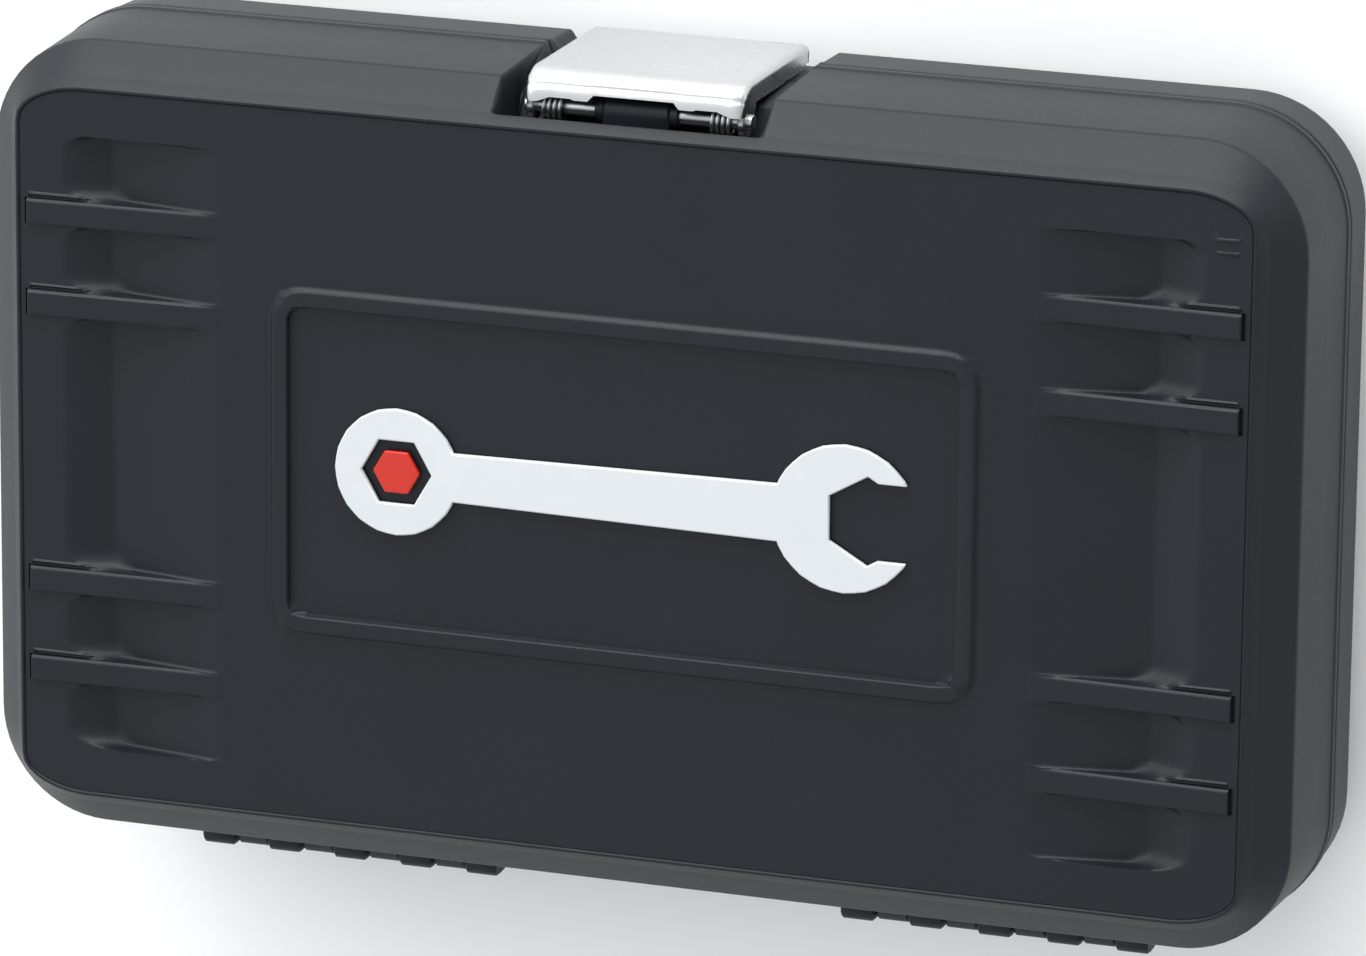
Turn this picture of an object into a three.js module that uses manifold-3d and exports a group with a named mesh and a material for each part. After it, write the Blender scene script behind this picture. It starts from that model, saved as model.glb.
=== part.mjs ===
// Socket wrench set in a hinged plastic case, lying flat and closed. Millimetres, +Z up.
// X runs along the case, the latch is on the -Y side and the hinges are on the +Y side.
import * as THREE from 'three';
import { mergeVertices } from 'three/addons/utils/BufferGeometryUtils.js';
import Module from 'manifold-3d';

const wasm = await Module();
wasm.setup();

// ---- driving dimensions -------------------------------------------------
const CASE = { hx: 100, hy: 60.4, r: 17.3, zPart: 18, gap: 0.15, top: 44, wall: 2.4 };
const LID_EDGE = { z: 37.5, hx: 99.2, hy: 59.6, r: 16.5 };
const LID_FACE = { z: 44, hx: 93.1, hy: 53.5, r: 10.5 };
const BASE_EDGE = { z: 8, hx: 99.6, hy: 60, r: 16.9 };
const BASE_FLOOR = { z: 0, hx: 93.1, hy: 53.5, r: 10.5 };
const FRAME = { cx: 0, cy: -1, hx: 53.7, hy: 26.1, r: 4, width: 3, rise: 1, recess: 0.3 };
const TROUGH = { outer: 86, deep: 79.5, inner: 63.6, hy: 46, depth: 2.8 };
const RIB = { ys: [-34.7, -21, 21, 34.7], w: 3.6, x0: 61.5, x1: 92, rise: 0.5 };
const HINGE = { xs: [-50.4, 50.4], y: 63.95, r: 3.3, bore: 1.35, pin: 1.25, pitch: 5.25, n: 9 };
const LATCH = { y: -55.6, z: 36.4, pin: 1.2, bore: 1.3, hw: 16.5, recess: 19, back: -51.4 };
const TRAY = { z0: 14.6, z1: 16.2, hx: 96.7, hy: 57.1, r: 14, wall: 1.4, floor: 4.2, play: 0.4 };
const SPLIT = { gap: 0.3, rackY: 36.75, rackX: 11, barsY: 13.4, barsX: 33, ratchetY: -22.4 };
const ROW = { small: 44.4, large: 25 };
const SQ = 6.35;
const SOCKET = { length: 25, z: 4.5, small: [4, 4.5, 5, 5.5, 6, 7, 8], large: [9, 10, 11, 12, 13, 14] };
const RATCHET = { x: 72, y: -36.5, z: 17.4, r: 12.5 };
const EXT = { y: 6, z: 10.8, long: [-88, 12], short: [20, 70] };
const TEE = { y: -10, z: 10.8, x: -60, x0: -88, x1: 27, r: 3.2 };
const UJ = { x: 62, y: 24, z: 10.8 };

// ---- solids and booleans ------------------------------------------------
function solid(geometry) {
  const g = geometry.clone();
  for (const name of ['normal', 'uv', 'uv1']) g.deleteAttribute(name);
  const m = mergeVertices(g, 1e-5);
  return new wasm.Manifold(new wasm.Mesh({
    numProp: 3,
    vertProperties: new Float32Array(m.attributes.position.array),
    triVerts: new Uint32Array(m.index.array),
  }));
}

function join(list) {
  return list.slice(1).reduce((sum, item) => sum.add(item), list[0]);
}

function toGeometry(manifold) {
  const mesh = manifold.getMesh();
  const g = new THREE.BufferGeometry();
  g.setAttribute('position', new THREE.BufferAttribute(new Float32Array(mesh.vertProperties), 3));
  g.setIndex(new THREE.BufferAttribute(new Uint32Array(mesh.triVerts), 1));
  const flat = g.toNonIndexed();
  flat.computeVertexNormals();
  return flat;
}

// Corners of a rounded rectangle, counter-clockwise.
function outline({ hx, hy, r, cx = 0, cy = 0 }, steps = 5) {
  const points = [];
  const corners = [[1, 1, 0], [-1, 1, 1], [-1, -1, 2], [1, -1, 3]];
  for (const [sx, sy, quarter] of corners) {
    for (let i = 0; i <= steps; i++) {
      const a = (quarter + i / steps) * Math.PI / 2;
      points.push([cx + sx * (hx - r) + r * Math.cos(a), cy + sy * (hy - r) + r * Math.sin(a)]);
    }
  }
  return points;
}

// Solid through a stack of rounded rectangles, lowest first.
function loft(sections, steps = 5) {
  const rings = sections.map((s) => outline(s, steps).map(([x, y]) => [x, y, s.z]));
  const n = rings[0].length;
  const index = [];
  for (let k = 0; k + 1 < rings.length; k++) {
    for (let i = 0; i < n; i++) {
      const j = (i + 1) % n;
      index.push(k * n + i, k * n + j, (k + 1) * n + j, k * n + i, (k + 1) * n + j, (k + 1) * n + i);
    }
  }
  const last = (rings.length - 1) * n;
  for (let i = 1; i + 1 < n; i++) index.push(0, i + 1, i, last, last + i, last + i + 1);
  const g = new THREE.BufferGeometry();
  g.setAttribute('position', new THREE.Float32BufferAttribute(rings.flat(2), 3));
  g.setIndex(index);
  return solid(g);
}

function slab(shape, z0, z1, steps = 5) {
  return loft([{ ...shape, z: z0 }, { ...shape, z: z1 }], steps);
}

function box(x0, x1, y0, y1, z0, z1) {
  const g = new THREE.BoxGeometry(x1 - x0, y1 - y0, z1 - z0);
  g.translate((x0 + x1) / 2, (y0 + y1) / 2, (z0 + z1) / 2);
  return solid(g);
}

const TURN = {
  x: new THREE.Matrix4().set(0, 0, 1, 0, 1, 0, 0, 0, 0, 1, 0, 0, 0, 0, 0, 1),
  y: new THREE.Matrix4().set(0, 1, 0, 0, 0, 0, 1, 0, 1, 0, 0, 0, 0, 0, 0, 1),
  z: new THREE.Matrix4(),
};

// Prism of a polygon given in the plane across the axis: (Y, Z), (Z, X) or (X, Y).
function prism(axis, points, from, to) {
  const shape = new THREE.Shape(points.map(([u, v]) => new THREE.Vector2(u, v)));
  const g = new THREE.ExtrudeGeometry(shape, { depth: to - from, bevelEnabled: false });
  g.translate(0, 0, from);
  g.applyMatrix4(TURN[axis]);
  return solid(g);
}

function circle(r, sides, u = 0, v = 0, phase = 0) {
  const ring = Array.from({ length: sides }, (_, i) => phase + i * 2 * Math.PI / sides);
  return ring.map((a) => [u + r * Math.cos(a), v + r * Math.sin(a)]);
}

// Round bar along an axis; u and v are its place in the plane across that axis.
function rod(axis, r, from, to, u, v, sides = 16) {
  return prism(axis, circle(r, sides, u, v), from, to);
}

function squareBar(axis, side, from, to, u, v) {
  return prism(axis, circle(side / Math.SQRT2, 4, u, v, Math.PI / 4), from, to);
}

// Turned shape; the profile runs from the axis to the axis as [radius, height].
function turned(profile, axis, along, u, v, sides = 20) {
  const g = new THREE.LatheGeometry(profile.map(([r, h]) => new THREE.Vector2(r, h)), sides);
  g.applyMatrix4(new THREE.Matrix4().set(1, 0, 0, 0, 0, 0, -1, 0, 0, 1, 0, 0, 0, 0, 0, 1));
  g.translate(u, v, along);
  g.applyMatrix4(TURN[axis]);
  return solid(g);
}

function ball(r, x, y, z, sides = 12) {
  const g = new THREE.IcosahedronGeometry(r, sides > 12 ? 3 : 1);
  g.translate(x, y, z);
  return solid(g);
}

// Coil of round wire wound along X.
function coil(x0, x1, y, z, r, wire, turns) {
  const perTurn = 10, sides = 4, count = Math.round(turns * perTurn) + 1;
  const position = [], index = [];
  for (let i = 0; i < count; i++) {
    const a = i * 2 * Math.PI / perTurn, x = x0 + (x1 - x0) * i / (count - 1);
    for (let k = 0; k < sides; k++) {
      const b = k * 2 * Math.PI / sides, radius = r + wire * Math.cos(b);
      position.push(x + wire * Math.sin(b), y + radius * Math.cos(a), z + radius * Math.sin(a));
    }
  }
  for (let i = 0; i + 1 < count; i++) {
    for (let k = 0; k < sides; k++) {
      const j = (k + 1) % sides, p = i * sides, q = p + sides;
      index.push(p + k, p + j, q + j, p + k, q + j, q + k);
    }
  }
  const end = (count - 1) * sides;
  for (let k = 1; k + 1 < sides; k++) index.push(0, k + 1, k, end, end + k, end + k + 1);
  const g = new THREE.BufferGeometry();
  g.setAttribute('position', new THREE.Float32BufferAttribute(position, 3));
  g.setIndex(index);
  const made = solid(g);
  return made.volume() < 0 ? solid(flip(g)) : made;
}

function flip(geometry) {
  const g = geometry.clone(), a = g.index.array;
  for (let i = 0; i < a.length; i += 3) [a[i], a[i + 1]] = [a[i + 1], a[i]];
  return g;
}

// ---- materials and the list of pieces -----------------------------------
const LOOK = {
  shell: [0x333539, 0.0, 0.6], tray: [0x25262a, 0.0, 0.75], foam: [0x1b1b1d, 0.0, 0.95],
  chrome: [0xd4d6d8, 1.0, 0.2], steel: [0x9a9da0, 1.0, 0.35], bit: [0x8b8e92, 1.0, 0.4],
  grip: [0x2b2d31, 0.0, 0.7], white: [0xeceff2, 0.0, 0.4], red: [0xda4037, 0.0, 0.4],
};
const group = new THREE.Group();

function piece(name, look, manifold) {
  const [color, metalness, roughness] = LOOK[look];
  const material = new THREE.MeshStandardMaterial({ color, metalness, roughness });
  const mesh = new THREE.Mesh(toGeometry(manifold), material);
  mesh.name = name;
  group.add(mesh);
}

// ---- case shells --------------------------------------------------------
function inset(shape, by, z) {
  return { ...shape, hx: shape.hx - by, hy: shape.hy - by, r: shape.r - by, z };
}

function knuckles(first, wallZ0, wallZ1) {
  const solids = [], bores = [];
  for (const centre of HINGE.xs) {
    for (let i = first; i < HINGE.n; i += 2) {
      const mid = centre + (i - (HINGE.n - 1) / 2) * HINGE.pitch, half = HINGE.pitch / 2 - 0.15;
      solids.push(rod('x', HINGE.r, mid - half, mid + half, HINGE.y, CASE.zPart, 16));
      solids.push(box(mid - half, mid + half, 59.3, HINGE.y, wallZ0, wallZ1));
    }
    const span = HINGE.pitch * HINGE.n / 2 + 2;
    bores.push(rod('x', HINGE.bore, centre - span, centre + span, HINGE.y, CASE.zPart));
  }
  return [solids, bores];
}

function trough(side) {
  const { outer, deep, inner, hy, depth } = TROUGH, top = CASE.top;
  const profile = [[top + 2, side * outer], [top, side * outer], [top - depth, side * (deep + 2)],
    [top - depth, side * (deep - 1)], [top, side * inner], [top + 2, side * inner]];
  const cut = prism('y', side > 0 ? profile : profile.reverse(), -hy - 5, hy + 5);
  const plan = { cx: side * (outer + inner) / 2, cy: 0, hx: (outer - inner) / 2 + 1, hy, r: 11 };
  return cut.intersect(slab(plan, top - 6, top + 3));
}

function buildLid() {
  const zr = CASE.zPart + CASE.gap;
  const rim = { ...CASE, z: zr };
  let lid = loft([rim, LID_EDGE, { ...LID_FACE, hx: 93.6, hy: 54, r: 11, z: 43.47 }, inset(LID_FACE, 0.5, 44)]);
  lid = lid.subtract(loft([inset(CASE, CASE.wall, zr - 1), inset(LID_EDGE, CASE.wall, 36.55),
    { hx: 92, hy: 52.4, r: 9.4, z: CASE.top - CASE.wall }]));
  for (const side of [-1, 1]) {
    const x0 = side > 0 ? 61 : -89;
    lid = lid.add(box(x0, x0 + 28, -50, 50, 38.8, 42.5));
  }
  const pad = 2.5, boss = LATCH.recess + pad;
  const thick = [[-62, 43.2], [-62, 18], [-55.1, 18], [-54.6, 29.3], [-49, 32.5], [-49, 43.2]];
  const edge = loft([rim, LID_EDGE, LID_FACE]);
  lid = lid.add(prism('x', thick, -boss, boss).intersect(edge));
  lid = lid.subtract(trough(1)).subtract(trough(-1));
  for (const y of RIB.ys) {
    for (const side of [-1, 1]) {
      const plan = { cx: side * (RIB.x0 + RIB.x1) / 2, cy: y, hx: (RIB.x1 - RIB.x0) / 2, hy: RIB.w / 2, r: 1.2 };
      lid = lid.add(slab(plan, 40, CASE.top + RIB.rise, 1));
    }
  }
  const inner = inset({ ...FRAME }, FRAME.width, 0);
  lid = lid.add(slab(FRAME, 42, CASE.top + FRAME.rise, 3));
  lid = lid.subtract(slab({ ...inner, r: 1.6 }, CASE.top - FRAME.recess, CASE.top + 3, 1));
  const hollow = [[-75, 42.2], [-75, 10], [-57.6, 10], [-57, 31], [LATCH.back, 34], [LATCH.back, 40.4],
    [-54, 40.8], [-55.2, 42.2]];
  lid = lid.subtract(prism('x', hollow, -LATCH.recess, LATCH.recess));
  const hub = rod('x', 2.2, -5, 5, LATCH.y, LATCH.z).add(box(-5, 5, LATCH.y, LATCH.back + 1, 34.8, 38));
  lid = lid.add(hub).subtract(rod('x', LATCH.pin, -6, 6, LATCH.y, LATCH.z));
  const rebate = slab(inset(CASE, 1.1, 0), zr - 1, zr + 1.8);
  lid = lid.subtract(rebate.subtract(slab(inset(CASE, 2.5, 0), zr - 2, zr + 3)));
  const [solids, bores] = knuckles(0, zr, CASE.zPart + HINGE.r);
  return join([lid, ...solids]).subtract(join(bores));
}

function buildBase() {
  const zr = CASE.zPart - CASE.gap;
  const outer = loft([inset(BASE_FLOOR, 0.5, 0), { ...BASE_FLOOR, hx: 93.6, hy: 54, r: 11, z: 0.65 }, BASE_EDGE,
    { ...CASE, z: zr }]);
  let base = outer.subtract(loft([{ hx: 91.9, hy: 52.3, r: 9.3, z: CASE.wall }, inset(BASE_EDGE, CASE.wall, 8.9),
    inset(CASE, CASE.wall, zr + 1)]));
  const lip = slab(inset(CASE, 1.4, 0), zr - 2, zr + 1.6).subtract(slab(inset(CASE, 2.4, 0), zr - 3, zr + 3));
  base = base.add(lip);
  const boss = LATCH.recess + 2.5;
  base = base.add(box(-boss, boss, -62, -55.1, 1, zr).intersect(outer));
  base = base.subtract(box(-LATCH.recess, LATCH.recess, -75, -57.6, -1, 25));
  const ridge = [[-57, 10.9], [-59.3, 10.9], [-59.3, 12.2], [-58.2, 14.2], [-57, 14.2]];
  base = base.add(prism('x', ridge, -13, 13));
  const [solids, bores] = knuckles(1, CASE.zPart - HINGE.r, zr);
  return join([base, ...solids]).subtract(join(bores));
}

// ---- latch --------------------------------------------------------------
function buildLatchPlate() {
  const outer = [[-57.6, 39.6], [-59.3, 38.2], [-60.5, 36], [-61, 33.5], [-61.4, 18], [-61.4, 10.4],
    [-61, 9.2], [-60, 8.6], [-58.4, 8.6]];
  const inner = [[-58.4, 10.2], [-59.8, 10.4], [-60.1, 11.2], [-60.1, 18], [-59.8, 33.3], [-59.3, 35.4],
    [-58.4, 37.1], [-57.1, 38.4]];
  let plate = prism('x', outer.concat(inner), -LATCH.hw, LATCH.hw);
  plate = plate.subtract(box(-6.2, 6.2, -60, -50, 35.6, 45));
  const cheek = [[-54.2, 38.1], [-55.2, 38.5], [-57.4, 39.2], [-60, 35.4], [-60.6, 24], [-58.8, 25], [-58.3, 31.6], [-54.2, 34.6]];
  for (const side of [-1, 1]) {
    const x0 = side > 0 ? LATCH.hw - 1.2 : -LATCH.hw;
    plate = plate.add(prism('x', cheek, x0, x0 + 1.2)).add(rod('x', 2.3, x0, x0 + 1.2, LATCH.y, LATCH.z));
  }
  return plate.subtract(rod('x', LATCH.bore, -20, 20, LATCH.y, LATCH.z));
}

// ---- tray ---------------------------------------------------------------
// A pocket is { shape, z }: a rounded rectangle and the height of its floor.
function pocket(cx, cy, hx, hy, r, z = TRAY.floor) {
  return { shape: { cx, cy, hx, hy, r }, z };
}

function socketPlaces() {
  const places = SOCKET.small.map((size, i) => ({ size, r: 5.95, x: -82 + i * 14.2, y: ROW.small }));
  const radii = [6.5, 7.3, 8, 8.5, 9.2, 9.9];
  let x = -88.5;
  SOCKET.large.forEach((size, i) => {
    x += radii[i];
    places.push({ size, r: radii[i], x, y: ROW.large });
    x += radii[i] + 3.4;
  });
  return places;
}

const BITS = ['slot_small', 'slot_large', 'cross_small', 'cross_large', 'star_small', 'star_large',
  'hex_small', 'hex_large'].map((kind, i) => ({ kind, x: 16.5 + i * 9.4, y: ROW.small }));

// The insert is moulded in five blocks that lie side by side.
function buildTray() {
  const play = TRAY.play;
  const middle = ([a, b]) => (a + b) / 2, half = ([a, b]) => (b - a) / 2 + 0.5;
  const round = (x, y, r, z) => pocket(x, y, r + play, r + play, r + play - 0.01, z);
  const cell = (x, y, r) => pocket(x, y, r + play, r + play, 1);
  const pockets = [
    ...socketPlaces().map((s) => cell(s.x, s.y, s.r)),
    ...BITS.map((b) => cell(b.x, b.y, 3.8)),
    pocket(middle(EXT.long), EXT.y, half(EXT.long), 6.5, 0.4),
    pocket(middle(EXT.short), EXT.y, half(EXT.short), 6.5, 0.4),
    cell(82, EXT.y, 5.95),
    pocket(UJ.x, UJ.y, 22, 10.5, 2),
    pocket((TEE.x0 + TEE.x1) / 2, TEE.y, 58.2, 4.2, 0.4, 6.4),
    pocket(-40, -14, 28, 11.6, 2),
    round(RATCHET.x, RATCHET.y, 13.1, 11),
    round(RATCHET.x, RATCHET.y, 7),
    pocket(42, RATCHET.y, 20, 6.2, 2, 11),
    pocket(58, RATCHET.y, 7, 9.6, 2, 11),
    pocket(-24, RATCHET.y, 47.5, 8.1, 2, 9.5),
    pocket(-38, -17, 9, 32, 3, 7),
    pocket(40, -14, 9, 28, 3, 8),
  ];
  const steps = (s) => (s.r > 3.5 ? 3 : 1);
  const grown = pockets.map(({ shape: s, z }) => slab(inset(s, -TRAY.wall, z), z - TRAY.wall, TRAY.z1, steps(s)));
  const cuts = pockets.map(({ shape: s, z }) => slab(s, z, TRAY.z1 + 5, steps(s)));
  const limit = loft([{ hx: 91.4, hy: 51.8, r: 8.8, z: 2.7 }, { hx: 96.7, hy: 57.1, r: 14, z: 9.3 },
    { ...TRAY, z: TRAY.z1 }]);
  let tray = join([slab(TRAY, TRAY.z0, TRAY.z1), ...grown]).intersect(limit).subtract(join(cuts));
  tray = tray.subtract(box(-22, 22, -60, -54.7, 0, 20));
  const g = SPLIT.gap / 2, far = 200;
  const part = (x0, x1, y0, y1) => box(x0 + g, x1 - g, y0 + g, y1 - g, 0, 30);
  const bars = part(-far, far, SPLIT.ratchetY, SPLIT.barsY).add(part(SPLIT.barsX, far, SPLIT.ratchetY, SPLIT.rackY));
  const blocks = {
    rack_small: part(-far, SPLIT.rackX, SPLIT.rackY, far),
    rack_bits: part(SPLIT.rackX, far, SPLIT.rackY, far),
    rack_large: part(-far, SPLIT.barsX, SPLIT.barsY, SPLIT.rackY),
    bars: bars,
    ratchet: part(-far, far, -far, SPLIT.ratchetY),
  };
  return Object.entries(blocks).map(([name, block]) => [`tray_${name}`, tray.intersect(block)]);
}

// ---- tools --------------------------------------------------------------
function buildSocket({ size, r, x, y }) {
  const { length: L, z } = SOCKET, bore = size * 0.585, nose = Math.min(r, size * 0.7 + 0.9);
  const drive = Math.min(r, 6.5);
  const profile = [[0, 0], [drive - 0.4, 0], [drive, 0.4], [drive, 10.5], [nose, 13], [nose, L - 0.5],
    [nose - 0.4, L], [0, L]];
  let body = turned(profile, 'z', z, x, y, 18);
  body = body.subtract(prism('z', circle(bore, 6, x, y), z + L - 10, z + L + 1));
  body = body.subtract(squareBar('z', SQ + 0.1, z - 1, z + 8.5, x, y));
  return body.subtract(rod('z', Math.min(2.9, size * 0.45), z + 5, z + 20, x, y, 10));
}

function buildBit({ kind, x, y }) {
  const z = SOCKET.z, big = kind.endsWith('large') ? 1 : 0.75;
  let bit = prism('z', circle(3.666, 6, x, y), z, z + 15).add(rod('z', 2.6, z + 14, z + 19, x, y, 12));
  const family = kind.split('_')[0];
  if (family === 'slot') bit = bit.add(box(x - 2.5 * big, x + 2.5 * big, y - 0.5, y + 0.5, z + 18, z + 25));
  if (family === 'hex') bit = bit.add(prism('z', circle(2.4 * big, 6, x, y), z + 18, z + 25));
  if (family === 'cross' || family === 'star') {
    const points = family === 'cross' ? 4 : 6, waist = family === 'cross' ? 0.35 : 0.7;
    const ring = circle(2.5 * big, points * 2, x, y).map(([u, v], i) => (
      i % 2 ? [x + (u - x) * waist, y + (v - y) * waist] : [u, v]));
    let tip = prism('z', ring, z + 18, z + 25);
    if (family === 'cross') {
      tip = tip.intersect(turned([[0, 0], [2.6, 0], [2.6, 3], [0.6, 7.2], [0, 7.2]], 'z', z + 18, x, y, 12));
    }
    bit = bit.add(tip);
  }
  return bit;
}

function buildExtension([x0, x1]) {
  const { y, z } = EXT;
  const profile = [[0, 0], [5.6, 0], [6, 0.4], [6, 14], [4, 17], [4, x1 - x0 - 10], [4.6, x1 - x0 - 9.4],
    [4.6, x1 - x0 - 7.8], [0, x1 - x0 - 7.8]];
  let bar = turned(profile, 'x', x0, y, z, 24).add(squareBar('x', SQ, x1 - 9, x1, y, z));
  bar = bar.subtract(squareBar('x', SQ + 0.1, x0 - 1, x0 + 8.5, y, z));
  return bar.subtract(rod('z', 1.35, z, z + 5, x1 - 4, y, 16));
}

function buildRatchet() {
  const { x, y, z, r } = RATCHET;
  const bottom = z - 5.5, top = z + 5;
  const neck = [[x - 8, y - 9], [x - 8, y + 9], [x - 16, y + 5.4], [x - 26, y + 4.2], [x - 52, y + 4.2],
    [x - 52, y - 4.2], [x - 26, y - 4.2], [x - 16, y - 5.4]].reverse();
  let body = turned([[0, 0], [r - 1, 0], [r, 1], [r, 9.5], [r - 1, 10.5], [0, 10.5]], 'z', bottom, x, y, 28);
  body = body.add(prism('z', neck, z - 3.4, z + 3.4)).add(rod('x', 3.6, -60, x - 50, y, z, 20));
  body = body.subtract(rod('z', 8.6, bottom + 1.4, top - 2, x, y, 32));
  body = body.subtract(rod('z', 10.6, bottom - 1, bottom + 1.5, x, y, 32));
  body = body.subtract(box(x - 11.2, x - 5, y - 4, y + 4, bottom + 1.4, top - 2));
  body = body.subtract(rod('z', 4.9, top - 3, top + 1, x, y));
  for (const side of [-1, 1]) body = body.subtract(rod('z', 0.8, bottom - 1, top - 3.5, x, y + side * 9.6, 12));
  return body;
}

function buildGrip() {
  const { y, z } = RATCHET, x0 = -70;
  const profile = [[0, 0], [4, 0], [6.2, 1.2], [7.2, 4], [7.4, 10], [6.6, 26], [6.4, 40], [6.9, 56], [7.4, 74],
    [7, 84], [6, 86.5], [0, 86.5]];
  let grip = turned(profile, 'x', x0, y, z, 20);
  for (let i = 0; i < 3; i++) {
    const at = x0 + 60 + i * 6;
    const groove = rod('x', 9, at, at + 1.6, y, z, 20).subtract(rod('x', 6.5, at - 1, at + 3, y, z, 20));
    grip = grip.subtract(groove);
  }
  grip = grip.subtract(rod('x', 3.9, x0 + 9.5, x0 + 90, y, z, 20));
  return grip.subtract(box(15.5, 30, y - 4.6, y + 4.6, z - 3.8, z + 3.8));
}

function buildDrive() {
  const { x, y, z } = RATCHET, teeth = 24;
  const ring = circle(7.9, teeth * 2, x, y).map(([u, v], i) => (
    i % 2 ? [x + (u - x) * 0.92, y + (v - y) * 0.92] : [u, v]));
  let drive = prism('z', ring, z - 3.6, z + 2.6).add(rod('z', 5.6, z - 6, z - 3, x, y));
  drive = drive.add(squareBar('z', SQ, z - 12.8, z - 5, x, y)).add(ball(1.2, x + SQ / 2 - 0.6, y, z - 9.3));
  return drive.subtract(rod('z', 3.2, z - 2.6, z + 4, x, y));
}

function buildLever() {
  const { x, y, z } = RATCHET, top = z + 5;
  const tab = [[x, y - 5], [x, y + 5], [x - 9.5, y + 3.2], [x - 12, y], [x - 9.5, y - 3.2]].reverse();
  let lever = rod('z', 6.4, top + 0.3, top + 1.8, x, y, 32).add(prism('z', tab, top + 0.3, top + 1.8));
  lever = lever.add(rod('z', 4.8, top - 1.9, top + 1, x, y));
  return lever.subtract(rod('z', 3.2, top - 4, top + 4, x, y));
}

function buildCover() {
  const { x, y, z } = RATCHET, bottom = z - 5.5;
  let cover = rod('z', 10.4, bottom, bottom + 1.2, x, y, 32).subtract(rod('z', 5.9, bottom - 1, bottom + 3, x, y));
  for (const side of [-1, 1]) cover = cover.subtract(rod('z', 0.8, bottom - 1, bottom + 3, x, y + side * 9.6, 12));
  return cover;
}

function buildYoke(end, axis) {
  const { x, y, z } = UJ, s = end;
  const span = (a, b) => (s > 0 ? [x + a, x + b] : [x - b, x - a]);
  const [b0, b1] = s > 0 ? span(7.4, 11) : span(7.4, 18.5);
  let yoke = rod('x', 6, b0, b1, y, z, 28);
  const [e0, e1] = span(0, 8);
  for (const side of [-1, 1]) {
    const a = side > 0 ? 3.5 : -5.9, b = side > 0 ? 5.9 : -3.5;
    const arm = axis === 'y' ? box(e0, e1, y + a, y + b, z - 2.8, z + 2.8) : box(e0, e1, y - 2.8, y + 2.8, z + a, z + b);
    const eye = axis === 'y' ? rod('y', 2.8, y + a, y + b, z, x) : rod('z', 2.8, z + a, z + b, x, y);
    yoke = yoke.add(arm).add(eye);
  }
  yoke = yoke.subtract(axis === 'y' ? rod('y', 1.6, y - 9, y + 9, z, x, 20) : rod('z', 1.6, z - 9, z + 9, x, y, 20));
  if (s > 0) return yoke.add(squareBar('x', SQ, x + 10, x + 18.5, y, z));
  return yoke.subtract(squareBar('x', SQ + 0.1, x - 20, x - 10.5, y, z));
}

function buildTee() {
  const { x, x0, x1, y, z, r } = TEE;
  let head = turned([[0, 0], [5.7, 0], [6.2, 0.6], [6.2, 13.4], [5.7, 14], [0, 14]], 'y', y - 7, z, x, 28);
  head = head.add(squareBar('y', SQ, y - 14.5, y - 6, z, x)).subtract(rod('x', r + 0.1, x - 9, x + 9, y, z));
  const bar = turned([[0, 0], [3.2, 0], [3.7, 0.5], [3.7, 2], [r, 2.5], [r, x1 - x0 - 2.5], [3.7, x1 - x0 - 2],
    [3.7, x1 - x0 - 0.5], [3.2, x1 - x0], [0, x1 - x0]], 'x', x0, y, z, 24);
  return [head, bar];
}

// ---- badge --------------------------------------------------------------
// A plain wrench outline lying along the lid's frame: open jaw at one end, ring at the other.
function buildBadge() {
  const z0 = CASE.top - FRAME.recess, z1 = z0 + 0.9, y = FRAME.cy;
  const shaft = prism('z', [[-30, y - 4.4], [30, y - 3.6], [30, y + 3.6], [-30, y + 4.4]], z0, z1);
  let head = rod('z', 11, z0, z1, -34, y, 40);
  head = head.subtract(prism('z', circle(6.6, 6, -37.5, y, Math.PI / 6), z0 - 1, z1 + 1));
  head = head.subtract(box(-50, -37.5, y - 5.7, y + 5.7, z0 - 1, z1 + 1));
  const ring = rod('z', 9.5, z0, z1, 34, y, 40).subtract(rod('z', 5.4, z0 - 1, z1 + 1, 34, y, 6));
  return shaft.subtract(rod('z', 5.4, z0 - 1, z1 + 1, 34, y, 6)).subtract(
    prism('z', circle(6.6, 6, -37.5, y, Math.PI / 6), z0 - 1, z1 + 1)).add(head).add(ring);
}

// ---- assembly -----------------------------------------------------------
piece('base_shell', 'shell', buildBase());
piece('lid_shell', 'shell', buildLid());
buildTray().forEach(([name, block]) => piece(name, 'tray', block));
piece('lid_pad', 'foam', slab({ hx: 50, hy: 46, r: 5 }, 30.4, CASE.top - CASE.wall - 0.3));
HINGE.xs.forEach((x, i) => {
  const half = HINGE.pitch * HINGE.n / 2;
  piece(`hinge_pin_${i + 1}`, 'steel', rod('x', HINGE.pin, x - half, x + half, HINGE.y, CASE.zPart));
});
piece('latch_plate', 'chrome', buildLatchPlate());
piece('latch_pin', 'steel', rod('x', LATCH.pin - 0.02, -17.2, 17.2, LATCH.y, LATCH.z));
piece('latch_spring_1', 'steel', coil(-14.4, -11, LATCH.y, LATCH.z, 1.95, 0.3, 4));
piece('latch_spring_2', 'steel', coil(11, 14.4, LATCH.y, LATCH.z, 1.95, 0.3, 4));
piece('badge_wrench', 'white', buildBadge());
piece('badge_hexagon', 'red', prism('z', circle(3.6, 6, 34, FRAME.cy), CASE.top - 0.3, CASE.top + 0.6));

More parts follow.
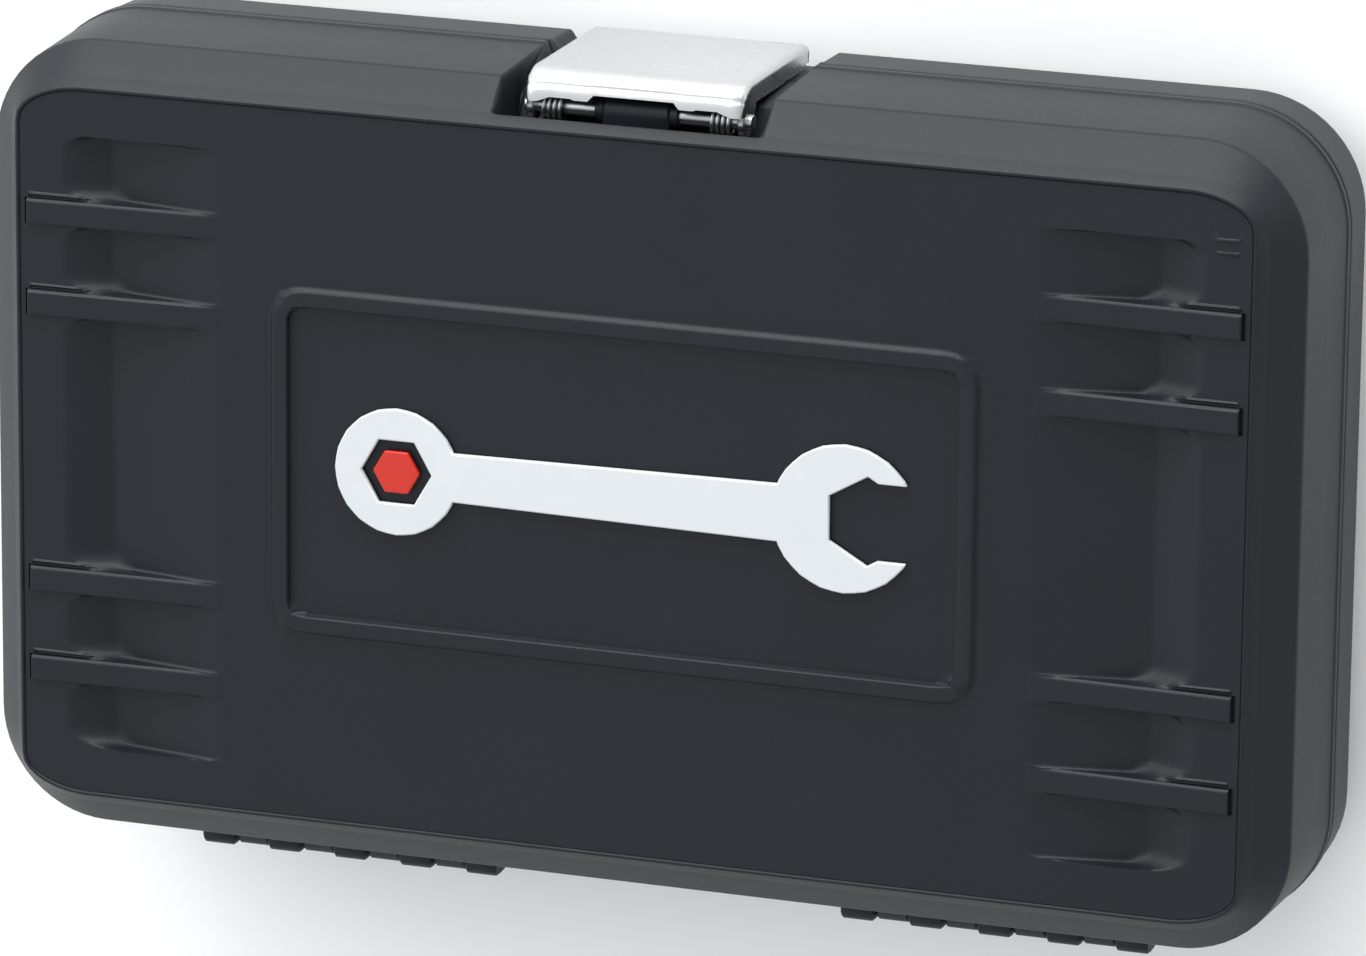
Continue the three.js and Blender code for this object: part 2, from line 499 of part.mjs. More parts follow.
socketPlaces().forEach((s) => piece(`socket_${String(s.size).replace('.', '_')}_mm`, 'chrome', buildSocket(s)));
BITS.forEach((b) => piece(`bit_${b.kind}`, 'bit', buildBit(b)));
[['long', EXT.long], ['short', EXT.short]].forEach(([name, span]) => {
  piece(`extension_${name}`, 'chrome', buildExtension(span));
  piece(`extension_${name}_ball`, 'steel', ball(1.15, span[1] - 4, EXT.y, EXT.z + SQ / 2 - 0.5));
});
const adapter = turned([[0, 0], [5.5, 0], [5.95, 0.5], [5.95, 24.5], [5.5, 25], [0, 25]], 'z', 4.5, 82, EXT.y)
  .subtract(squareBar('z', SQ + 0.1, 3, 13, 82, EXT.y)).subtract(prism('z', circle(3.75, 6, 82, EXT.y), 17, 31))
  .subtract(rod('z', 2, 10, 20, 82, EXT.y, 16));
piece('bit_adapter', 'chrome', adapter);
piece('ujoint_socket_yoke', 'chrome', buildYoke(-1, 'y'));
piece('ujoint_drive_yoke', 'chrome', buildYoke(1, 'z'));
piece('ujoint_spider', 'steel', box(UJ.x - 2.7, UJ.x + 2.7, UJ.y - 3.2, UJ.y + 3.2, UJ.z - 3.2, UJ.z + 3.2)
  .add(rod('y', 1.5, UJ.y - 5.8, UJ.y + 5.8, UJ.z, UJ.x, 20)).add(rod('z', 1.5, UJ.z - 5.8, UJ.z + 5.8, UJ.x, UJ.y, 20)));
const [teeHead, teeBar] = buildTee();
piece('tee_head', 'chrome', teeHead);
piece('tee_bar', 'chrome', teeBar);
piece('ratchet_handle', 'chrome', buildRatchet());
piece('ratchet_grip', 'grip', buildGrip());
piece('ratchet_cover', 'steel', buildCover());
piece('ratchet_drive', 'steel', buildDrive());
piece('ratchet_pawl', 'steel', box(RATCHET.x - 10.9, RATCHET.x - 8.3, RATCHET.y - 3, RATCHET.y + 3,
  RATCHET.z - 3.6, RATCHET.z + 2.6));
piece('ratchet_lever', 'chrome', buildLever());
piece('release_button', 'steel', turned([[0, 0], [3.05, 0], [3.05, 8.6], [2.5, 9.4], [0, 9.4]], 'z',
  RATCHET.z - 0.3, RATCHET.x, RATCHET.y, 24));
[-1, 1].forEach((side, i) => piece(`cover_screw_${i + 1}`, 'steel',
  rod('z', 0.65, RATCHET.z - 5.5, RATCHET.z - 0.5, RATCHET.x, RATCHET.y + side * 9.6, 12)));

export default group;
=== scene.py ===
"""Finished look of a socket wrench set in its hinged case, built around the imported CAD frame."""

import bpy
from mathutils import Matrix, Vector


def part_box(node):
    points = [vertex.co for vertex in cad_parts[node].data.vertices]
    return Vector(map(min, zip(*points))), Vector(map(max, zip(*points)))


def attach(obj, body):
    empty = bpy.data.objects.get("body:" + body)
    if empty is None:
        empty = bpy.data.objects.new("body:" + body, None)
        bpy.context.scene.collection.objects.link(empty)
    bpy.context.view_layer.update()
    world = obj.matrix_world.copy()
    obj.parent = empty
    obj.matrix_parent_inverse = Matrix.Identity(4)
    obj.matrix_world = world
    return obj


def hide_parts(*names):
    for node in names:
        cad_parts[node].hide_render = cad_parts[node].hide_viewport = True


bl_info = {
    "name": "Socket Wrench Set in Case",
    "version": (1, 0, 0),
    "blender": (4, 5, 0),
    "location": "View3D > Sidebar > Socket Set",
    "description": "Builds the moulded case, its latch and hinges, the tray and the tools",
    "category": "Object",
}

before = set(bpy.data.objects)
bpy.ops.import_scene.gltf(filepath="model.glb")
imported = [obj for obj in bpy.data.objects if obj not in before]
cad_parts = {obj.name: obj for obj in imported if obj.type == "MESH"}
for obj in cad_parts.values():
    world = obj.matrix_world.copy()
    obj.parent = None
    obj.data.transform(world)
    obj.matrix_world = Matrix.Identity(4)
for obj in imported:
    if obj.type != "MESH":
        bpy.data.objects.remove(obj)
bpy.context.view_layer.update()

import math

import bmesh
import bpy
import numpy as np
from bpy.props import FloatProperty, FloatVectorProperty, IntProperty
from mathutils import Euler, Vector
from mathutils.bvhtree import BVHTree
from mathutils.geometry import delaunay_2d_cdt

MM = 0.001

# ---- places read from the frame, in millimetres ---------------------------


def cad_box(node):
    low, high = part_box(node)
    return np.array(low) / MM, np.array(high) / MM


def middle_of(node):
    low, high = cad_box(node)
    return (low + high) / 2


LID_LOW, LID_HIGH = cad_box("lid_shell")
HALF_X = LID_HIGH[0]
HALF_Y = -LID_LOW[1]
FACE_Z = 43.85         # height of the lid's face
PARTING_Z = 18.0       # height at which the lid meets the base
EDGE_R = 17.3          # how far the outline lies outside its core rectangle
CORE_X, CORE_Y = HALF_X - EDGE_R, HALF_Y - EDGE_R
PIN_LOW, PIN_HIGH = cad_box("latch_pin")
LATCH_Y, LATCH_Z = middle_of("latch_pin")[1:]
HINGE_Y = middle_of("hinge_pin_1")[1]


# ---- settings -------------------------------------------------------------


class CaseSettings(bpy.types.PropertyGroup):
    shell_colour: FloatVectorProperty(
        name="Shell colour", description="Colour of the moulded shells", subtype="COLOR",
        size=3, min=0, max=1, default=(0.0075, 0.0095, 0.0135))
    grain: FloatProperty(
        name="Grain size", description="Size of the moulded grain", default=0.00035,
        min=0.0001, max=0.002, subtype="DISTANCE", unit="LENGTH")
    rib_rise: FloatProperty(
        name="Rib rise", description="How far the outer end of a rib stands proud", default=0.0008,
        min=0.0, max=0.001, subtype="DISTANCE", unit="LENGTH")
    knuckles: IntProperty(
        name="Knuckles", description="Knuckles along each hinge", default=9, min=3, max=15)


class StageSettings(bpy.types.PropertyGroup):
    floor_colour: FloatVectorProperty(
        name="Floor colour", description="Colour of the studio floor", subtype="COLOR",
        size=3, min=0, max=1, default=(0.93, 0.93, 0.93))
    key_power: FloatProperty(
        name="Key light", description="Power of the large key light", default=8.0, min=0, unit="POWER")


# ---- shader maths ---------------------------------------------------------


class Value:
    """A node socket that takes part in ordinary arithmetic."""

    def __init__(self, nodes, socket):
        self.nodes, self.socket = nodes, socket

    def _math(self, operation, first, second):
        return self.nodes.node("ShaderNodeMath", {"operation": operation}, {0: first, 1: second})

    def __add__(self, other):
        return self._math("ADD", self, other)

    __radd__ = __add__

    def __sub__(self, other):
        return self._math("SUBTRACT", self, other)

    def __rsub__(self, other):
        return self._math("SUBTRACT", other, self)

    def __mul__(self, other):
        return self._math("MULTIPLY", self, other)

    __rmul__ = __mul__


class Nodes:
    """A node tree whose nodes all come from one method."""

    def __init__(self, tree):
        self.tree = tree

    def feed(self, target, value):
        """Links a Value to an input, or sets the input to a plain number, colour or vector."""
        if isinstance(value, Value):
            self.tree.links.new(value.socket, target)
        else:
            target.default_value = value

    def node(self, kind, settings, values, output=0):
        made = self.tree.nodes.new(kind)
        for key, value in settings.items():
            setattr(made, key, value)
        for key, value in values.items():
            self.feed(made.inputs[key], value)
        return Value(self, made.outputs[output])


class Shader(Nodes):
    """One node material, ending in a Principled BSDF."""

    def __init__(self, name, colour, roughness, metallic=0.0, specular=0.5):
        self.material = bpy.data.materials.new(name)
        self.material.use_nodes = True
        self.material.diffuse_color = (*colour, 1.0)
        super().__init__(self.material.node_tree)
        self.set("Base Color", (*colour, 1.0))
        self.set("Roughness", roughness)
        self.set("Metallic", metallic)
        self.set("Specular IOR Level", specular)

    def set(self, name, value):
        self.feed(self.tree.nodes["Principled BSDF"].inputs[name], value)

    def place(self, stretch=(1, 1, 1)):
        where = self.node("ShaderNodeTexCoord", {}, {}, "Object")
        return self.node("ShaderNodeMapping", {}, {"Vector": where, "Scale": stretch})

    def noise(self, size, detail=2.0, stretch=(1, 1, 1)):
        """Noise whose features are about size metres across."""
        return self.node("ShaderNodeTexNoise", {}, {
            "Vector": self.place(stretch), "Scale": 1 / size, "Detail": detail})

    def mix(self, factor, first, second):
        """A colour between two others."""
        return self.node("ShaderNodeMix", {"data_type": "RGBA"}, {
            0: factor, 6: (*first, 1.0), 7: (*second, 1.0)}, 2)

    def bump(self, height, distance, strength=1.0):
        self.set("Normal", self.node("ShaderNodeBump", {}, {
            "Height": height, "Distance": distance, "Strength": strength}))


def tint(colour, factor):
    return tuple(min(1.0, c * factor) for c in colour)


def moulded_plastic(name, colour, roughness, grain, depth=0.00003):
    s = Shader(name, colour, roughness, specular=0.27)
    fine, cloud = s.noise(grain, 3.0), s.noise(0.02, 2.0)
    s.set("Base Color", s.mix(cloud * 0.6 + fine * 0.4, tint(colour, 0.86), tint(colour, 1.16)))
    s.set("Roughness", roughness - 0.06 + fine * 0.12)
    s.bump(fine, depth)
    return s.material


def plated_steel(name, colour=(0.74, 0.75, 0.76), roughness=0.16):
    s = Shader(name, colour, roughness, metallic=1.0)
    haze, lines = s.noise(0.006, 3.0), s.noise(0.0002, 2.0, (0.03, 1, 1))
    s.set("Roughness", roughness - 0.04 + haze * 0.08 + lines * 0.06)
    s.bump(lines, 0.000004)
    return s.material


def plain_steel(name, colour=(0.5, 0.5, 0.51), roughness=0.32):
    s = Shader(name, colour, roughness, metallic=1.0)
    spots, lines = s.noise(0.0015, 3.0), s.noise(0.00025, 2.0, (1, 1, 0.05))
    s.set("Base Color", s.mix(spots, tint(colour, 0.8), tint(colour, 1.12)))
    s.set("Roughness", roughness - 0.06 + spots * 0.14)
    s.bump(lines, 0.000006)
    return s.material


def enamel(name, colour, roughness=0.38):
    s = Shader(name, colour, roughness)
    cloud = s.noise(0.004, 3.0)
    s.set("Base Color", s.mix(cloud, tint(colour, 0.94), colour))
    s.set("Roughness", roughness - 0.05 + cloud * 0.1)
    s.bump(s.noise(0.0012, 2.0), 0.00001)
    return s.material


def foam_skin(name, colour):
    s = Shader(name, colour, 0.95, specular=0.15)
    cells, cloud = s.noise(0.0006, 4.0), s.noise(0.01, 2.0)
    s.set("Base Color", s.mix(cells * 0.7 + cloud * 0.3, tint(colour, 0.6), tint(colour, 1.4)))
    s.set("Roughness", 0.9 + cells * 0.1)
    s.bump(cells, 0.0002)
    return s.material


def make_materials(settings):
    moulded_plastic("shell_plastic", tuple(settings.shell_colour), 0.46, settings.grain)
    moulded_plastic("tray_plastic", (0.02, 0.021, 0.024), 0.55, 0.0006)
    moulded_plastic("grip_rubber", (0.03, 0.032, 0.036), 0.7, 0.0003)
    foam_skin("egg_foam", (0.02, 0.02, 0.0215))
    plated_steel("tool_chrome")
    plated_steel("latch_plating", (0.58, 0.58, 0.59), 0.24)
    plain_steel("plain_steel")
    plain_steel("ground_steel", (0.36, 0.36, 0.37), 0.38)
    enamel("white_enamel", (0.6, 0.63, 0.645))
    enamel("red_enamel", (0.52, 0.0163, 0.004), 0.45)


# ---- mesh helpers ---------------------------------------------------------


SHARP = 38.0           # degrees between two faces past which their edge looks sharp


def paint(name):
    return bpy.data.materials[name]


def shade(mesh, sharp=SHARP):
    mesh.shade_smooth()
    mesh.set_sharp_from_angle(angle=math.radians(sharp))


def mesh_object(name, points, faces, material, smooth=True, sharp=SHARP):
    """A finished piece from points in millimetres."""
    mesh = bpy.data.meshes.new(name)
    mesh.from_pydata([tuple(p) for p in np.asarray(points, float) * MM], [], faces)
    mesh.validate()
    obj = bpy.data.objects.new(name, mesh)
    bpy.context.scene.collection.objects.link(obj)
    obj.data.materials.append(material)
    if smooth:
        shade(mesh, sharp)
    return obj


class Surface:
    """Collects points and faces of one mesh."""

    def __init__(self):
        self.points, self.faces = [], []

    def add(self, points):
        start = len(self.points)
        self.points.extend([tuple(p) for p in points])
        return start

    def rings(self, rings, flip=False):
        """Faces between rings of equal length; returns the index of the first point of each."""
        starts = [self.add(ring) for ring in rings]
        for a, b in zip(starts, starts[1:]):
            self.bridge(a, b, len(rings[0]), flip)
        return starts

    def cap(self, start, count, flip=False):
        face = tuple(range(start, start + count))
        self.faces.append(face[::-1] if flip else face)

    def bridge(self, a, b, count, flip=False):
        """Faces between two rings whose points start at a and b."""
        for i in range(count):
            j = (i + 1) % count
            face = (a + i, a + j, b + j, b + i)
            self.faces.append(face[::-1] if flip else face)

    def make(self, name, material, **options):
        return mesh_object(name, self.points, self.faces, material, **options)


def finish(obj, body, slot, *nodes):
    """Puts a piece on its body and hides the plain CAD nodes that it stands for; slot, the name of its
    finish, is not used.
    """
    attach(obj, body)
    if nodes:
        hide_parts(*nodes)
    return obj


def fillet(points, radii, steps=4):
    """A polyline whose inner corners are rounded; every corner gets steps + 1 points."""
    points = [np.array(p, float) for p in points]
    out = [points[0]]
    for before, corner, after, radius in zip(points, points[1:], points[2:], radii):
        u, v = before - corner, after - corner
        lu, lv = np.linalg.norm(u), np.linalg.norm(v)
        u, v = u / lu, v / lv
        angle = math.acos(np.clip(u @ v, -1, 1))
        reach = min(radius / math.tan(angle / 2), 0.45 * lu, 0.45 * lv)
        start, end = corner + u * reach, corner + v * reach
        for k in range(steps + 1):
            t = k / steps
            out.append((1 - t) ** 2 * start + 2 * t * (1 - t) * corner + t * t * end)
    out.append(points[-1])
    return np.array(out)


AROUND = 72            # points round a turned piece; a multiple of 4 and 6, for squares and hexagons
ANGLES = np.arange(AROUND) * 2 * math.pi / AROUND
CORNER_SHARE = 0.975   # reach of an eased corner, as a share of a sharp one's


def across(sides, size):
    """Distance from the axis at each angle: a circle, or a square or hexagon with eased corners."""
    if not sides:
        return np.full(AROUND, float(size))
    step = 2 * math.pi / sides
    turn = step / 2 if sides == 6 else 0.0
    local = (ANGLES - turn + step / 2) % step - step / 2
    return np.minimum(size / np.cos(local), size / math.cos(step / 2) * CORNER_SHARE)


def stand(axis, u, v, w):
    """Points given across and along an axis, as X, Y, Z."""
    w = np.broadcast_to(w, np.shape(u))
    return np.column_stack({"x": (w, u, v), "y": (v, w, u), "z": (u, v, w)}[axis])


def eased(points, radius=0.3, sides=0, steps=3):
    """Rings of a profile given as (distance along, size), with its corners eased."""
    return [(a, r, sides) for a, r in fillet(points, [radius] * (len(points) - 2), steps)]


def moved(rings, start):
    """The same rings of (distance along, size, sides), counted from start."""
    return [(start + along, size, sides) for along, size, sides in rings]


def turn(surface, axis, place, rings, through=False):
    """Adds a turned or broached piece from rings of (distance along, size, sides)."""
    made = []
    for along, size, sides in rings:
        r = across(sides, size)
        made.append(stand(axis, place[0] + r * np.cos(ANGLES), place[1] + r * np.sin(ANGLES), along))
    starts = surface.rings(made)
    if through:
        surface.bridge(starts[-1], starts[0], AROUND)
    else:
        surface.cap(starts[0], AROUND, flip=True)
        surface.cap(starts[-1], AROUND)


def bar(surface, axis, outline, low, high, ease=0.25):
    """Adds a straight bar with that outline, counter-clockwise across the axis, and eased ends."""
    outline = np.array(outline, float)
    away = outline - outline.mean(axis=0)
    inner = outline - away * (ease / np.linalg.norm(away, axis=1))[:, None]
    rings = [stand(axis, shape[:, 0], shape[:, 1], along) for along, shape in (
        (low, inner), (low + ease, outline), (high - ease, outline), (high, inner))]
    starts = surface.rings(rings)
    surface.cap(starts[0], len(outline), flip=True)
    surface.cap(starts[-1], len(outline))


def arc(u, v, radius, start, stop, steps=12):
    a = np.radians(np.linspace(start, stop, steps + 1))
    return [(u + radius * math.cos(t), v + radius * math.sin(t)) for t in a]


def settled(obj):
    """The object with its modifiers worked into a plain mesh."""
    depsgraph = bpy.context.evaluated_depsgraph_get()
    mesh = bpy.data.meshes.new_from_object(obj.evaluated_get(depsgraph), depsgraph=depsgraph)
    obj.modifiers.clear()
    obj.data = mesh
    return obj


FLAT = math.radians(0.05)
OUTER = math.radians(32)   # least turn of an edge that is eased
# ways to ease a solid's edges, best first: top edges only, slack in millimetres, share of the width
EASINGS = [(top_only, slack, share) for share in (1.0, 0.6) for top_only in (False, True)
           for slack in (0.0, 0.15)] + [(True, 0.0, 0.0)]


def merged(node, slack):
    """A copy of a CAD solid as joined-up flat faces, with edges shorter than slack closed up."""
    work = bmesh.new()
    work.from_mesh(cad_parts[node].data)
    bmesh.ops.remove_doubles(work, verts=work.verts, dist=2e-6)
    if slack:
        bmesh.ops.dissolve_degenerate(work, dist=slack * MM, edges=work.edges)
    bmesh.ops.dissolve_limit(work, angle_limit=FLAT, verts=work.verts, edges=work.edges)
    if slack:
        bmesh.ops.dissolve_degenerate(work, dist=slack * MM, edges=work.edges)
    return work


def is_sound(mesh):
    """True for a closed mesh that neither folds back on itself nor cuts through itself."""
    work = bmesh.new()
    work.from_mesh(mesh)
    bmesh.ops.triangulate(work, faces=work.faces)
    work.faces.ensure_lookup_table()
    good = all(edge.is_manifold for edge in work.edges)
    for edge in work.edges if good else ():
        one, other = edge.link_faces
        folded = one.normal.dot(other.normal) < -0.9
        if folded and min(one.calc_area(), other.calc_area()) > 1e-9:
            good = False
    if good:
        tree = BVHTree.FromBMesh(work)
        good = not any(a < b and not set(work.faces[a].verts) & set(work.faces[b].verts)
                       for a, b in tree.overlap(tree))
    work.free()
    return good


def bevelled(name, node, material, width=0.3):
    """A copy of a CAD solid with its outer edges eased, in the best way that keeps it sound."""
    obj = bpy.data.objects.new(name, bpy.data.meshes.new(name))
    bpy.context.scene.collection.objects.link(obj)
    for top_only, slack, share in EASINGS:
        work = merged(node, slack)
        top = max(vert.co.z for vert in work.verts) - 1e-5
        weight = work.edges.layers.float.new("bevel_weight_edge")
        for edge in work.edges:
            wanted = not top_only or all(vert.co.z > top for vert in edge.verts)
            edge[weight] = float(edge.calc_face_angle_signed(0) > OUTER and wanted)
        work.to_mesh(obj.data)
        work.free()
        if share:
            ease = obj.modifiers.new("ease", "BEVEL")
            ease.width, ease.segments, ease.limit_method = share * width * MM, 2, "WEIGHT"
            ease.use_clamp_overlap = False
            settled(obj)
            if is_sound(obj.data):
                break
            obj.data = bpy.data.meshes.new(name)
    obj.data.materials.clear()
    obj.data.materials.append(material)
    shade(obj.data)
    obj.modifiers.new("even", "WEIGHTED_NORMAL").keep_sharp = True
    return settled(obj)


# ---- repeats and coils by Geometry Nodes -----------------------------------


class Tree:
    """A Geometry Nodes tree with named inputs, ending in Realize Instances and Set Material."""

    def __init__(self, name, inputs):
        self.tree = bpy.data.node_groups.new(name, "GeometryNodeTree")
        sockets = self.tree.interface
        sockets.new_socket("Geometry", in_out="OUTPUT", socket_type="NodeSocketGeometry")
        for label, kind in {"Geometry": "Geometry", **inputs, "Material": "Material"}.items():
            sockets.new_socket(label, in_out="INPUT", socket_type="NodeSocket" + kind)
        self.given = self.tree.nodes.new("NodeGroupInput").outputs

    def node(self, kind, values, output=0, **settings):
        made = self.tree.nodes.new(kind)
        for key, value in settings.items():
            setattr(made, key, value)
        for key, value in values.items():
            if isinstance(value, bpy.types.NodeSocket):
                self.tree.links.new(value, made.inputs[key])
            else:
                made.inputs[key].default_value = value
        return made.outputs[output]

    def placed(self, geometry):
        """Turns and moves the whole result, realizes it and gives it its material."""
        turned = self.node("FunctionNodeEulerToRotation", {0: self.given["Turn"]})
        moved = self.node("GeometryNodeTransform", {
            "Geometry": geometry, "Translation": self.given["Place"], "Rotation": turned})
        real = self.node("GeometryNodeRealizeInstances", {"Geometry": moved})
        painted = self.node("GeometryNodeSetMaterial", {
            "Geometry": real, "Material": self.given["Material"]})
        self.tree.links.new(painted, self.tree.nodes.new("NodeGroupOutput").inputs[0])
        return self.tree


def repeat_tree():
    """Copies of one shape, each a step further along and a spin further round Z."""
    t = Tree("repeat", {"Count": "Int", "Step": "Vector", "Spin": "Float",
                        "Turn": "Vector", "Place": "Vector"})
    line = t.node("GeometryNodeMeshLine", {
        "Count": t.given["Count"], "Start Location": (0, 0, 0), "Offset": t.given["Step"]})
    index = t.node("GeometryNodeInputIndex", {})
    angle = t.node("ShaderNodeMath", {0: index, 1: t.given["Spin"]}, operation="MULTIPLY")
    spin = t.node("FunctionNodeEulerToRotation", {0: t.node("ShaderNodeCombineXYZ", {"Z": angle})})
    copies = t.node("GeometryNodeInstanceOnPoints", {
        "Points": line, "Instance": t.given["Geometry"], "Rotation": spin})
    return t.placed(copies)


def coil_tree():
    """A coil of round wire wound round Z."""
    t = Tree("coil", {"Turns": "Float", "Radius": "Float", "Length": "Float", "Wire": "Float",
                      "Turn": "Vector", "Place": "Vector"})
    path = t.node("GeometryNodeCurveSpiral", {
        "Resolution": 32, "Rotations": t.given["Turns"], "Start Radius": t.given["Radius"],
        "End Radius": t.given["Radius"], "Height": t.given["Length"]})
    wire = t.node("GeometryNodeCurvePrimitiveCircle", {"Resolution": 12, "Radius": t.given["Wire"]})
    return t.placed(t.node("GeometryNodeCurveToMesh", {
        "Curve": path, "Profile Curve": wire, "Fill Caps": True}))


TREES = {"repeat": repeat_tree, "coil": coil_tree}


def grown(name, tree, material, values, unit=None):
    """The plain mesh that a tree makes; unit is the shape that it repeats."""
    obj = unit or mesh_object(name, [], [], material)
    obj.name = name
    modifier = obj.modifiers.new("grow", "NODES")
    modifier.node_group = bpy.data.node_groups.get(tree) or TREES[tree]()
    given = {"Turn": (0.0, 0.0, 0.0), "Place": (0.0, 0.0, 0.0), "Material": material, **values}
    for item in modifier.node_group.interface.items_tree:
        if item.in_out == "INPUT" and item.name in given:
            modifier[item.identifier] = given[item.name]
    settled(obj)
    shade(obj.data)
    return obj


def knurled(name, material, radius, length, count, place, turned=(0.0, 0.0, 0.0)):
    """A band of fine straight ridges round a turned tool; place is its middle, in millimetres."""
    ridge = Surface()
    half = math.pi * radius / count * 0.55
    outline = [(radius - 0.2, -half), (radius + 0.02, -half), (radius + 0.14, -half * 0.3),
               (radius + 0.14, half * 0.3), (radius + 0.02, half), (radius - 0.2, half)]
    bar(ridge, "z", outline, -length / 2, length / 2, 0.12)
    unit = ridge.make(name, material)
    band = grown(name, "repeat", material, {
        "Count": count, "Spin": 2 * math.pi / count, "Turn": turned,
        "Place": tuple(c * MM for c in place)}, unit)
    return finish(band, "case_base", "chrome")


# ---- the case outline -----------------------------------------------------

RECESS = 19.2          # half width of the latch recess at its floor
RECESS_SLOPE = 1.5     # run of its side walls
INNER_RECESS = (RECESS + 1.5, 2.0)   # the same two sizes for the inside of the shells


def stations(corner_steps=14):
    """Points round the core rectangle with their outward normals, counter-clockwise from +X."""
    dense = np.linspace(RECESS - 1.0, RECESS + RECESS_SLOPE + 1.0, 20)
    latch_x = np.unique(np.round(np.concatenate([np.linspace(-CORE_X, CORE_X, 49), dense, -dense]), 4))
    sides = [
        ((CORE_X, t * CORE_Y) for t in np.linspace(-1, 1, 25)),
        ((-t * CORE_X, CORE_Y) for t in np.linspace(-1, 1, 41)),
        ((-CORE_X, -t * CORE_Y) for t in np.linspace(-1, 1, 25)),
        ((x, -CORE_Y) for x in latch_x),
    ]
    core, normal = [], []
    for quarter, side in enumerate(sides):
        facing = quarter * math.pi / 2
        for point in side:
            core.append(point)
            normal.append((math.cos(facing), math.sin(facing)))
        for k in range(1, corner_steps):
            a = facing + k / corner_steps * math.pi / 2
            core.append(core[-1])
            normal.append((math.cos(a), math.sin(a)))
    return np.array(core), np.array(normal)


CORE, NORMAL = stations()


def smooth_step(x, low, high):
    t = np.clip((x - low) / (high - low), 0, 1)
    return t * t * (3 - 2 * t)


def recess_weight(half=RECESS, slope=RECESS_SLOPE):
    on_side = (np.abs(NORMAL[:, 1] + 1) < 1e-6)
    return on_side * (1 - smooth_step(np.abs(CORE[:, 0]), half, half + slope))


def ring_at(r, z):
    """The outline at distance r outside the core rectangle; r and z may differ from point to point."""
    r, z = np.broadcast_to(r, len(CORE)), np.broadcast_to(z, len(CORE))
    return np.column_stack([CORE + NORMAL * r[:, None], z])


def profile_rings(plain, recessed=None, weight=None, corners=None):
    """Rings round the case; corners gives how much further out each height lies at each point."""
    rings = []
    for k, (r, z) in enumerate(plain):
        if corners is not None:
            r = r + corners(z)
        if recessed is None:
            rings.append(ring_at(r, z))
        else:
            rr, rz = recessed[k]
            rings.append(ring_at(r + (rr - r) * weight, z + (rz - z) * weight))
    return rings


# ---- lid ------------------------------------------------------------------

FRAME_CY, FRAME_HX, FRAME_HY = -1.0, 53.7, 26.1
FRAME_R, FRAME_WIDTH, FRAME_RISE, FRAME_SINK = 5.2, 3.0, 0.7, 0.3
RIB_Y = (-34.7, -21.0, 21.0, 34.7)
RIB_HALF, RIB_IN, RIB_OUT = 1.85, 61.8, 91.55
TROUGH_OUT, TROUGH_DEEP, TROUGH_IN = 86.0, 79.3, 61.5
TROUGH_DEPTH, TROUGH_END, TROUGH_FILLET = 2.8, 46.3, 3.0
GROOVE_DEPTH, LIP_RISE, SLOT_DEPTH = 0.3, 0.26, 0.55    # beside a rib and past its outer end
BAR_Y, BAR_X, BAR_RISE = (-46.9, -45.0), -89.3, 0.22      # two short marks in one corner
FACE_R = 10.0                                             # corner radius of the face


def full_corners(z):
    """How far the face's oval corners lie outside round ones at height z."""
    x, y = np.abs(NORMAL[:, 0]), np.abs(NORMAL[:, 1])
    oval = 4 * FACE_R * y / (x ** 2 + 4 * y ** 2)
    reach = np.where(y <= x / 2, FACE_R / np.maximum(x, 1e-6), oval)
    return (reach - FACE_R) * smooth_step(z, 37.5, 43.8)


def box_distance(x, y, hx, hy, r):
    """Signed distance to a rounded rectangle, negative inside."""
    qx, qy = np.abs(x) - (hx - r), np.abs(y) - (hy - r)
    outside = np.hypot(np.maximum(qx, 0), np.maximum(qy, 0))
    return outside + np.minimum(np.maximum(qx, qy), 0) - r


def soft_min(a, b, k):
    h = np.clip(0.5 + 0.5 * (b - a) / k, 0, 1)
    return b + (a - b) * h - k * h * (1 - h)


def nearest(y, edges, side):
    """Distance from each point to the closest of these edges on one side of it."""
    gaps = [side * (edge - y) for edge in edges]
    return np.minimum.reduce([np.where(gap >= 0, gap, 99.0) for gap in gaps])


def wall_rise(near, radius):
    """Height of a concave fillet of that radius, near a wall."""
    inside = np.clip(near, 0, radius)
    return radius - np.sqrt(radius ** 2 - (radius - inside) ** 2)


def trough_depth(x, y):
    """Depth of the two scooped troughs, cut into pockets by the ribs."""
    a = np.abs(x)
    gentle = (a - TROUGH_IN) / (TROUGH_DEEP - TROUGH_IN) * TROUGH_DEPTH
    steep = (TROUGH_OUT - a) / (TROUGH_OUT - TROUGH_DEEP) * TROUGH_DEPTH
    depth = soft_min(gentle, steep, 0.22)
    radius = 0.6 + (TROUGH_FILLET - 0.6) * smooth_step(a, TROUGH_DEEP - 3.4, TROUGH_DEEP + 0.6)
    front = nearest(y, [rib - RIB_HALF for rib in RIB_Y] + [TROUGH_END], 1)
    back = nearest(y, [rib + RIB_HALF for rib in RIB_Y] + [-TROUGH_END], -1)
    corner = 1.6 * smooth_step(a, TROUGH_DEEP + 1.0, TROUGH_OUT)
    depth = depth - wall_rise(front, radius) - wall_rise(back, 0.7 + corner)
    outside = (np.abs(y) > TROUGH_END) | (front > 90) | (back > 90)
    return np.where(outside, 0.0, -soft_min(-depth, np.zeros_like(depth), 0.12))


